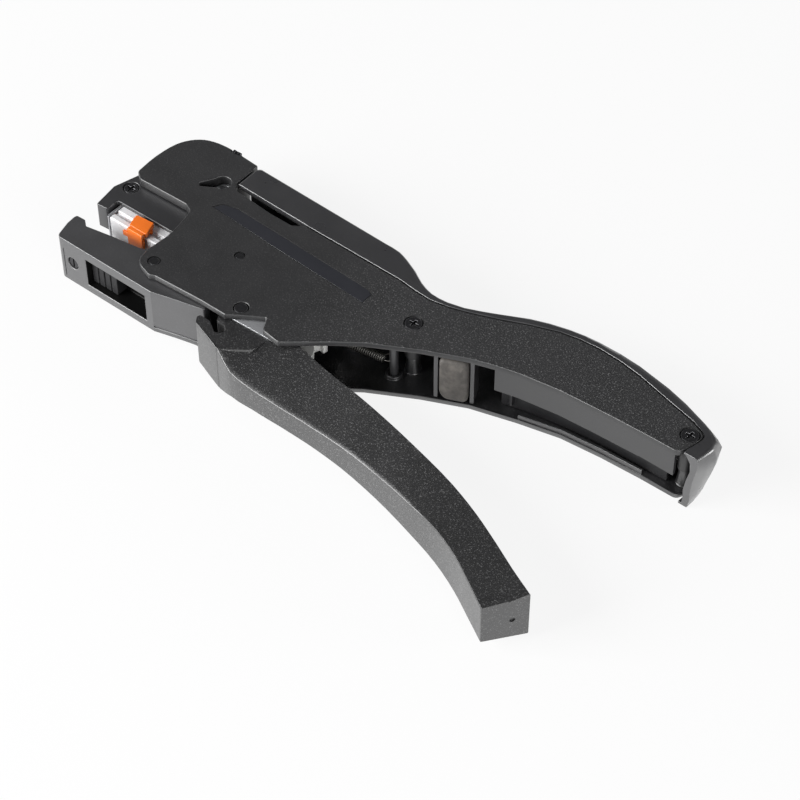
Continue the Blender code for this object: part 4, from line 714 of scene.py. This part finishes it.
@dataclass
class Assembly:
    """A group of pieces that ride on named bodies."""

    softener: Softener = field(default_factory=Softener)

    def dress(self, piece: bpy.types.Object, body: Body, finish: Finish,
              *stands_for: str) -> None:
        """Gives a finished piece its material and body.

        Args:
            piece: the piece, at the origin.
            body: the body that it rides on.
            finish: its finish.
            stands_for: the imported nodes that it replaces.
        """
        piece.data.materials.clear()
        piece.data.materials.append(finish.material())
        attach(piece, body.value)
        if stands_for:
            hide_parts(*stands_for)
        log.info("%s rides on %s: %d faces", piece.name, body.value, len(piece.data.polygons))

    def soften(self, node: str, body: Body, finish: Finish,
               softener: Softener | None = None) -> None:
        """Replaces a node by its softened copy.

        Args:
            node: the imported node's name.
            body: the body that it rides on.
            finish: its finish.
            softener: another amount of rounding than the assembly's own.
        """
        self.dress((softener or self.softener).copy(node), body, finish, node)

    def build(self) -> None:
        """Makes and dresses every piece of the group."""


@dataclass
class Housing(Assembly):
    """The covers, the back shell and what is set into them.

    Attributes:
        cap_start, cap_end: where along X the end cap's lean sets in and is full.
        cap_lean, lip: height and shift along X of the cap and of its lip.
        lip_reach: the lip's span along X, and the span along Y over which its shift fades.
        corner, corner_height: the swell at the back corner in plan, and where it is full.
        corner_way, corner_rim: a direction in plan, and the span on it where the swell sets in.
        film_depth, film_side, film_inset: its depth, and the drop and width of its edge.
        ridge, brow: the line behind which the top is rounded, and the share along X.
        brow_inset, brow_drop: how far the top is drawn in and its rim lowered.
        rim_low, rim_top: the heights above which the rim drops and is drawn in.
    """

    cap_start: float = 0.1374
    cap_end: float = 0.1390
    lip: tuple[Pair, ...] = ((0, -0.0004), (0.0012, -0.0004), (0.0097, -0.0022),
                             (0.0180, -0.0030), (0.0220, -0.0015))
    lip_reach: tuple[float, ...] = (0.1360, 0.1428, 0.0358, 0.0418)
    corner: Pair = (0.1375, 0.0460)
    corner_height: float = 0.0175
    corner_reach: float = 0.0022
    corner_way: Pair = (0.45, 0.89)
    corner_rim: Pair = (0.1016, 0.1026)
    corner_shift: Pair = (0.0011, 0.0006)
    cap_lean: tuple[Pair, ...] = ((0, 0.0002), (0.0003, -0.0005), (0.0009, -0.0007),
                                  (0.0036, -0.0011), (0.0067, -0.0015), (0.0110, -0.0009),
                                  (0.0153, 0.0006), (0.0184, 0.0019), (0.0211, 0.0020),
                                  (0.0217, 0.0017), (0.0220, 0.0016))
    film: tuple[Pair, ...] = ((-0.03610, 0.02797), (-0.03460, 0.03060), (-0.03020, 0.03177),
                              (-0.02900, 0.03190), (0.02460, 0.02975), (0.02660, 0.02880),
                              (0.02675, 0.02460), (-0.00700, 0.02607))
    film_top: float = 0.02190
    film_depth: float = 0.00014
    film_side: float = 0.00004
    film_inset: float = 0.00006
    ridge: tuple[Pair, ...] = ((0.087, 0.0540), (0.093, 0.0546), (0.100, 0.05445),
                               (0.107, 0.0538), (0.119, 0.0514), (0.126, 0.0498),
                               (0.1325, 0.0479), (0.1350, 0.0468))
    brow: tuple[Pair, ...] = ((0.087, 0.0), (0.104, 1.0), (0.131, 1.0), (0.136, 0.4))
    brow_inset: Pair = (-0.00026, -0.00127)
    brow_drop: tuple[Pair, ...] = ((0.0209, 0.0), (0.0211, 0.0007), (0.0217, 0.00035),
                                   (0.0219, 0.0), (0.0220, 0.0))
    rim_low: float = 0.0209
    rim_top: float = 0.0219
    opening_wire: float = 0.0004
    opening_turns: int = 5
    opening_steps: int = 48

    def build(self) -> None:
        """Softens the mouldings and fixings of the fixed body and lays its film."""
        for node, finish in (("top_cover", COVER_BLACK), ("bottom_cover", BASE_BLACK)):
            self.soften(node, Body.FRAME, finish, COVER_EDGE)
        self.back_shell()
        self.label_film()
        for node in ("lobe_clip", "handle_pivot_pin", "jaw_pivot_pin", "cover_dowel",
                     "handle_screw", "end_screw"):
            self.soften(node, Body.FRAME, OXIDE, FIXING_EDGE)
        self.opening_spring()

    def back_shell(self) -> None:
        """Softens the back shell, leans its end cap in towards the floor and flattens its lip.

        With step(t) = t t (3 - 2 t) of t kept within 0 to 1, a point moves along X by
        lean(z) step(cap) + lip(z) wide (1 - step(deep)), where cap, wide and deep are its shares
        of the way through the cap, across the lip and away from the lip. Round the back corner it
        also moves by shift times exp(-(r / reach)^2) where it lies outside the groove. Past the
        ridge line the top is drawn in by brow(x) inset and its rounded rim down by brow(x) drop(z).
        """
        shell = self.softener.copy("back_shell")
        mesh = shell.data
        flat = np.empty(len(mesh.vertices) * 3, np.float32)
        mesh.vertices.foreach_get("co", flat)
        points = flat.reshape(-1, 3)
        across, along, height = points.T.copy()
        near, far, shallow, deep = self.lip_reach
        cap = step_between(across, self.cap_start, self.cap_end)
        wide = np.clip((across - near) / (far - near), 0, 1)
        points[:, 0] += np.interp(height, *np.array(self.cap_lean).T) * cap
        points[:, 0] += (np.interp(height, *np.array(self.lip).T) * wide
                         * (1 - step_between(along, shallow, deep)))
        share = (np.interp(across, *np.array(self.brow).T)
                 * (along > np.interp(across, *np.array(self.ridge).T)) * (height > self.rim_low))
        points[:, 2] -= share * np.interp(height, *np.array(self.brow_drop).T)
        points[:, :2] += (share * (height > self.rim_top))[:, None] * np.array(self.brow_inset)
        away = np.hypot(across - self.corner[0], along - self.corner[1]) / self.corner_reach
        way = self.corner_way
        outward = step_between(way[0] * across + way[1] * along, *self.corner_rim)
        swell = np.exp(-away ** 2) * step_between(height, 0.0, self.corner_height) * outward
        points[:, :2] += swell[:, None] * np.array(self.corner_shift)
        mesh.vertices.foreach_set("co", points.ravel())
        mesh.update()
        settled_normals(mesh, math.radians(self.softener.crease))
        self.dress(shell, Body.FRAME, BACK_BLACK, "back_shell")

    def label_film(self) -> None:
        """Lays a plain film in the cover's shallow recess: its outline in three shrinking rings."""
        ring = np.array(self.film)
        middle = (ring.min(0) + ring.max(0)) / 2
        half = (ring.max(0) - ring.min(0)) / 2
        rings = [np.column_stack([middle + (ring - middle) * (1 - inset / half),
                                  np.full(len(ring), height)])
                 for inset, height in ((0, self.film_top - self.film_depth),
                                       (0, self.film_top - self.film_side),
                                       (self.film_inset, self.film_top))]
        film = surface_object("label_film", *capped(np.array(rings)))
        film.data.shade_flat()
        self.dress(film, Body.FRAME, FILM_BLACK)

    def opening_spring(self) -> None:
        """Winds the coil round the main pivot: a helix of even pitch inside its node's box."""
        low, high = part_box("opening_spring")
        wire = self.opening_wire
        reach = (high.x - low.x) / 2 - wire
        part = np.linspace(0, 1, self.opening_turns * self.opening_steps + 1)
        turn = math.tau * self.opening_turns * part
        outward = np.stack([np.cos(turn), np.sin(turn), 0 * turn], axis=-1)
        rise = low.z + wire + (high.z - low.z - 2 * wire) * part
        centre = np.stack([0 * turn + (low.x + high.x) / 2, 0 * turn + (low.y + high.y) / 2, rise],
                          axis=-1)
        coil = tube("opening_coil", centre + reach * outward, outward, wire)
        self.dress(coil, Body.FRAME, WIRE, "opening_spring")


@dataclass
class UpperJaw(Assembly):
    """The fixed jaw with its white clamp, blade and screw."""

    def build(self) -> None:
        """Softens the jaw plate, the clamp block, the blade and the screw."""
        self.soften("upper_jaw", Body.FRAME, SMOOTH_BLACK)
        self.soften("clamp_block", Body.FRAME, WHITE)
        self.soften("upper_blade", Body.FRAME, STEEL, BLADE_EDGE)
        self.soften("jaw_screw", Body.FRAME, OXIDE, FIXING_EDGE)


@dataclass
class LengthStop(Assembly):
    """The orange stop that slides along the clamp."""

    def build(self) -> None:
        """Softens the stop."""
        self.soften("length_stop", Body.STOP, ORANGE, STOP_EDGE)


@dataclass
class LowerJaw(Assembly):
    """The swinging jaw with its clamp, blade and eccentric screw."""

    def build(self) -> None:
        """Softens the jaw and what it carries."""
        self.soften("lower_jaw", Body.JAW, JAW_BLACK, JAW_EDGE)
        self.soften("lower_clamp", Body.JAW, SHADED_SMOOTH_BLACK)
        self.soften("lower_blade", Body.JAW, STEEL, BLADE_EDGE)
        self.soften("eccentric_screw", Body.JAW, OXIDE, FIXING_EDGE)


@dataclass
class MovingHandle(Assembly):
    """The curved handle with its drive plates and cam hook."""

    def build(self) -> None:
        """Softens the handle and dresses the steel inside its nose."""
        self.soften("moving_handle", Body.HANDLE, GRIP_BLACK, GRIP_EDGE)
        self.soften("cam_hook", Body.HANDLE, LIGHT_GREY)
        for node in ("upper_drive_plate", "lower_drive_plate", "drive_pin"):
            self.soften(node, Body.HANDLE, STEEL, PLATE_EDGE)


@dataclass
class CrimpDrive(Assembly):
    """The funnel, the anvil, the plunger and the link that pushes it."""

    def build(self) -> None:
        """Softens the steel pieces of the crimping drive."""
        for node in ("ferrule_funnel", "crimp_anvil"):
            self.soften(node, Body.FRAME, STEEL, DRIVE_EDGE)
        for node in ("crimp_plunger", "plunger_pin"):
            self.soften(node, Body.PLUNGER, STEEL, DRIVE_EDGE)
        self.soften("push_link", Body.LINK, STEEL, DRIVE_EDGE)


@dataclass
class FerruleFeed(Assembly):
    """The strip guide, the feed lever and its close-wound spring.

    Attributes:
        peg, post, level: the places in plan that it joins, and its height.
        near_loop, far_loop: how far the coil ends from peg and post, and the loop's radius.
        loop_sweep, loop_points: how far a loop goes round, in degrees, and its points.
    """

    wire: float = 0.00022
    coil: float = 0.0012
    turns: int = 18
    steps: int = 20
    peg: Pair = (0.02226, 0.018984)
    post: Pair = (0.04102, 0.022008)
    level: float = 0.0074
    near_loop: Pair = (0.0026, 0.0010)
    far_loop: Pair = (0.0034, 0.0015)
    loop_sweep: float = 290.0
    loop_points: int = 25

    def build(self) -> None:
        """Softens the feed's mouldings and winds its spring."""
        self.soften("strip_guide", Body.FRAME, SMOOTH_BLACK)
        self.soften("feed_lever", Body.LEVER, LIGHT_GREY)
        self.soften("lever_pin", Body.FRAME, STEEL)
        self.soften("spring_post", Body.FRAME, SMOOTH_BLACK)
        self.return_spring()

    def return_spring(self) -> None:
        """Winds the spring: side loop, close helix and side loop along one straight axis.

        The helix is centre(t) + coil (sin a times side + cos a times up); each loop is a circle
        in the plane of the axis and the wire's own direction where the helix ends.
        """
        low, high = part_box("return_spring")
        start, end = np.array((*self.peg, self.level)), np.array((*self.post, self.level))
        along = (end - start) / np.linalg.norm(end - start)
        side = np.array((-along[1], along[0], 0.0))
        up = np.array((0.0, 0.0, 1.0))
        near_gap, near_radius = self.near_loop
        far_gap, far_radius = self.far_loop
        near, far = start + along * near_gap, end - along * far_gap
        part = np.linspace(0, 1, self.turns * self.steps + 1)
        turn = math.tau * self.turns * part
        outward = np.sin(turn)[:, None] * side + np.cos(turn)[:, None] * up
        helix = near + (far - near) * part[:, None] + self.coil * outward
        loops = []
        swing = np.linspace(0, math.radians(self.loop_sweep), self.loop_points)[:, None]
        for place, way, radius in ((near, -along, near_radius), (far, along, far_radius)):
            heading = side if way is along else -side
            circle = (place + up * self.coil + way * radius
                      - way * radius * np.cos(swing) + heading * radius * np.sin(swing))
            loops.append(circle)
        path = np.concatenate([loops[0][:0:-1], helix, loops[1][1:]])
        reach = np.concatenate([np.repeat(up[None], len(loops[0]) - 1, 0), outward,
                                np.repeat(up[None], len(loops[1]) - 1, 0)])
        path[:, 2] = np.clip(path[:, 2], low.z + self.wire, high.z - self.wire)
        spring = tube("return_coil", path, reach, self.wire, sides=8)
        self.dress(spring, Body.FRAME, WIRE, "return_spring")


@dataclass
class GripStop(Assembly):
    """The inner wall of the fixed handle, and the cushion in its holder.

    Attributes:
        pad_middle, pad_along: the cushion's middle and its direction in plan.
        pad_depth, pad_proud: how deep it sits in the holder and stands out of it.
        pad_crown: the rise of its face.
        heart: the share of the face that the last ring takes up.
    """

    pad_middle: Pair = (0.06188, 0.02439)
    pad_along: Pair = (0.90917, 0.41643)
    pad_width: float = 0.0090
    pad_depth: float = 0.0060
    pad_proud: float = 0.0006
    pad_corners: tuple[float, ...] = (0.0016, 0.0016, 0.0034, 0.0020)
    pad_round: float = 0.0013
    pad_crown: float = 0.0006
    corner_points: int = 9
    rim_rings: int = 7
    face_rings: int = 9
    heart: float = 0.06

    def build(self) -> None:
        """Softens the wall and the holder, and moulds the cushion."""
        self.soften("inner_wall", Body.FRAME, SHADED_SMOOTH_BLACK)
        self.soften("pad_holder", Body.FRAME, SMOOTH_BLACK)
        self.cushion()

    def cushion(self) -> None:
        """Moulds the rubber cushion as rings that run from its back to its crowned face.

        A ring is a rectangle whose corners are arcs. Over the rounded rim it shrinks by
        round (1 - cos a) while it moves out by round sin a. On the face it is scaled by s and
        stands out by crown (1 - s squared).
        """
        low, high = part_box("buffer_pad")
        half = np.array((self.pad_width / 2, (high.z - low.z) / 2))
        corner = np.array(((1, 1), (-1, 1), (-1, -1), (1, -1)))
        sweep = np.linspace(0, math.pi / 2, self.corner_points)
        turn = sweep[None, :] + np.arange(4)[:, None] * math.pi / 2
        radius = np.array(self.pad_corners)[:, None, None]
        seat = corner[:, None] * (half - radius)
        arc = np.stack([np.cos(turn), np.sin(turn)], axis=-1)
        rim = np.linspace(0, math.pi / 2, self.rim_rings)
        shrink = np.concatenate([[0.0], self.pad_round * (1 - np.cos(rim))])
        depth = np.concatenate([[-self.pad_depth],
                                self.pad_proud - self.pad_round * (1 - np.sin(rim))])
        rings = [(seat + arc * (radius - inset)).reshape(-1, 2) for inset in shrink]
        shares = np.linspace(1, self.heart, self.face_rings)[1:]
        rings += [rings[-1] * share for share in shares]
        depth = np.concatenate([depth, self.pad_proud + self.pad_crown * (1 - shares ** 2)])
        flat = np.array(rings)
        along = np.array(self.pad_along)
        out = np.array((along[1], -along[0]))
        plan = (np.array(self.pad_middle) + flat[..., :1] * along
                + depth[:, None, None] * out)
        level = (low.z + high.z) / 2 + flat[..., 1:]
        pad = surface_object("cushion", *capped(np.concatenate([plan, level], axis=-1)))
        self.dress(pad, Body.FRAME, PAD_RUBBER, "buffer_pad")


@dataclass
class Studio:
    """The pale floor, the lights and the camera.

    Attributes:
        target, lift: the place that it faces, and its shift down across its view.
        wall: the upward share of a direction where the pale wall begins and ends to darken.
        lamps: name, place, side and power of each light.
        floor_reach, floor_drop: half the floor's side, and its depth below the tool.
        floor_glow: the share of its own light.
    """

    azimuth: float = 39.0
    elevation: float = 47.0
    distance: float = 0.742
    target: Row = (0.0474703, 0.0169497, 0.0)
    lens: float = 110.9
    sensor: float = 36.0
    clip: Pair = (0.01, 20.0)
    lift: float = 0.00045
    wall: Pair = (0.15, 0.52)
    wall_colour: Row = (0.85, 0.85, 0.85)
    sky_colour: Row = (0.085, 0.085, 0.088)
    backdrop: Row = (1.0, 1.0, 1.0)
    lamps: tuple[tuple[str, Row, float, float], ...] = (
        ("front_light", (-0.75, -1.05, 0.55), 1.0, 36.0),
        ("right_light", (1.2, -0.7, 0.45), 0.8, 9.0),
        ("side_light", (1.3, 0.75, 0.25), 0.5, 7.0))
    lamp_target: Row = (0.04, 0.0, 0.01)
    floor_reach: float = 3.0
    floor_drop: float = 0.0002
    floor_colour: Row = (0.9, 0.9, 0.9)
    floor_roughness: float = 0.9
    floor_glow: float = 0.87

    def build(self) -> None:
        """Sets the floor, the world, the lamps and the camera."""
        self.floor()
        self.world()
        for name, place, size, power in self.lamps:
            self.lamp(name, place, size, power)
        self.camera()

    def aim(self, azimuth: float, elevation: float) -> Vector:
        """Returns the unit vector from the object to a viewer, angles in degrees."""
        turn, rise = math.radians(azimuth), math.radians(elevation)
        return Vector((math.sin(turn) * math.cos(rise), -math.cos(turn) * math.cos(rise),
                       math.sin(rise)))

    def camera(self) -> None:
        """Places the camera above the tool's open side, aimed at its middle."""
        data = bpy.data.cameras.new("camera")
        data.lens, data.sensor_width = self.lens, self.sensor
        data.clip_start, data.clip_end = self.clip
        back = self.aim(self.azimuth, self.elevation)
        turn = back.to_track_quat("Z", "Y")
        up = turn @ Vector((0, 1, 0))
        camera = linked("camera", data)
        camera.rotation_euler = turn.to_euler()
        camera.location = Vector(self.target) + back * self.distance - up * self.lift
        bpy.context.scene.camera = camera

    def lamp(self, name: str, place: Row, size: float, power: float) -> None:
        """Adds a square soft light that points at the tool.

        Args:
            name: the lamp's name.
            place: where it hangs.
            size: its side, in metres.
            power: its power, in watts.
        """
        data = bpy.data.lights.new(name, "AREA")
        data.shape, data.size, data.energy = "SQUARE", size, power
        lamp = linked(name, data)
        lamp.location = place
        away = Vector(place) - Vector(self.lamp_target)
        lamp.rotation_euler = away.to_track_quat("Z", "Y").to_euler()

    def seen(self, nodes: Nodes) -> Socket:
        """Returns 1 for camera, mirror and glass rays, and 0 for the rest."""
        path = nodes.new("ShaderNodeLightPath").outputs
        both = nodes.maths("ADD", path["Is Camera Ray"], path["Is Glossy Ray"])
        total = nodes.maths("ADD", both, path["Is Transmission Ray"])
        return nodes.ramp(total, 0.0, 1.0)

    def world(self) -> None:
        """Gives a dark sky with a pale wall round the horizon; the camera sees white."""
        world = bpy.data.worlds.new("studio")
        world.use_nodes = True
        nodes = Nodes(world.node_tree)
        background = world.node_tree.nodes["Background"]
        way = nodes.new("ShaderNodeTexCoord").outputs["Generated"]
        height = nodes.ramp(nodes.axes(way)["Z"], *self.wall)
        sky = nodes.mix(height, self.wall_colour, self.sky_colour)
        path = nodes.new("ShaderNodeLightPath").outputs["Is Camera Ray"]
        nodes.link(nodes.mix(path, sky, self.backdrop), background.inputs["Color"])
        bpy.context.scene.world = world

    def floor(self) -> None:
        """Lays a wide white floor that keeps a soft shadow."""
        side = np.linspace(-self.floor_reach, self.floor_reach, 2)
        across, along = np.meshgrid(side, side, indexing="ij")
        grid = np.stack([across, along, 0 * across - self.floor_drop], axis=-1)
        sheet = surface_object("studio_floor", grid, grid_faces(2, 2, wrap=False))
        material = bpy.data.materials.new("pale_floor")
        material.use_nodes = True
        nodes = Nodes(material.node_tree)
        shader = material.node_tree.nodes["Principled BSDF"]
        shader.inputs["Base Color"].default_value = (*self.floor_colour, 1)
        shader.inputs["Roughness"].default_value = self.floor_roughness
        glow = nodes.new("ShaderNodeEmission")
        glow.inputs["Strength"].default_value = 1.0
        blend = nodes.new("ShaderNodeMixShader")
        share = nodes.span(self.seen(nodes), 0.0, self.floor_glow, 0.0, 1.0)
        nodes.link(share, blend.inputs[0])
        nodes.link(shader.outputs["BSDF"], blend.inputs[1])
        nodes.link(glow.outputs["Emission"], blend.inputs[2])
        nodes.link(blend.outputs["Shader"],
                   material.node_tree.nodes["Material Output"].inputs["Surface"])
        sheet.data.materials.append(material)


def main() -> None:
    """Builds the tool's groups in order, then the studio."""
    logging.basicConfig(level=logging.INFO, format="%(name)s: %(message)s")
    bpy.context.scene.view_settings.view_transform = "Standard"
    for group in (Housing(), UpperJaw(), LengthStop(), LowerJaw(), MovingHandle(), CrimpDrive(),
                  FerruleFeed(), GripStop()):
        group.build()
        log.info("%s is dressed", type(group).__name__)
    Studio().build()


if __name__ == "__main__":
    main()
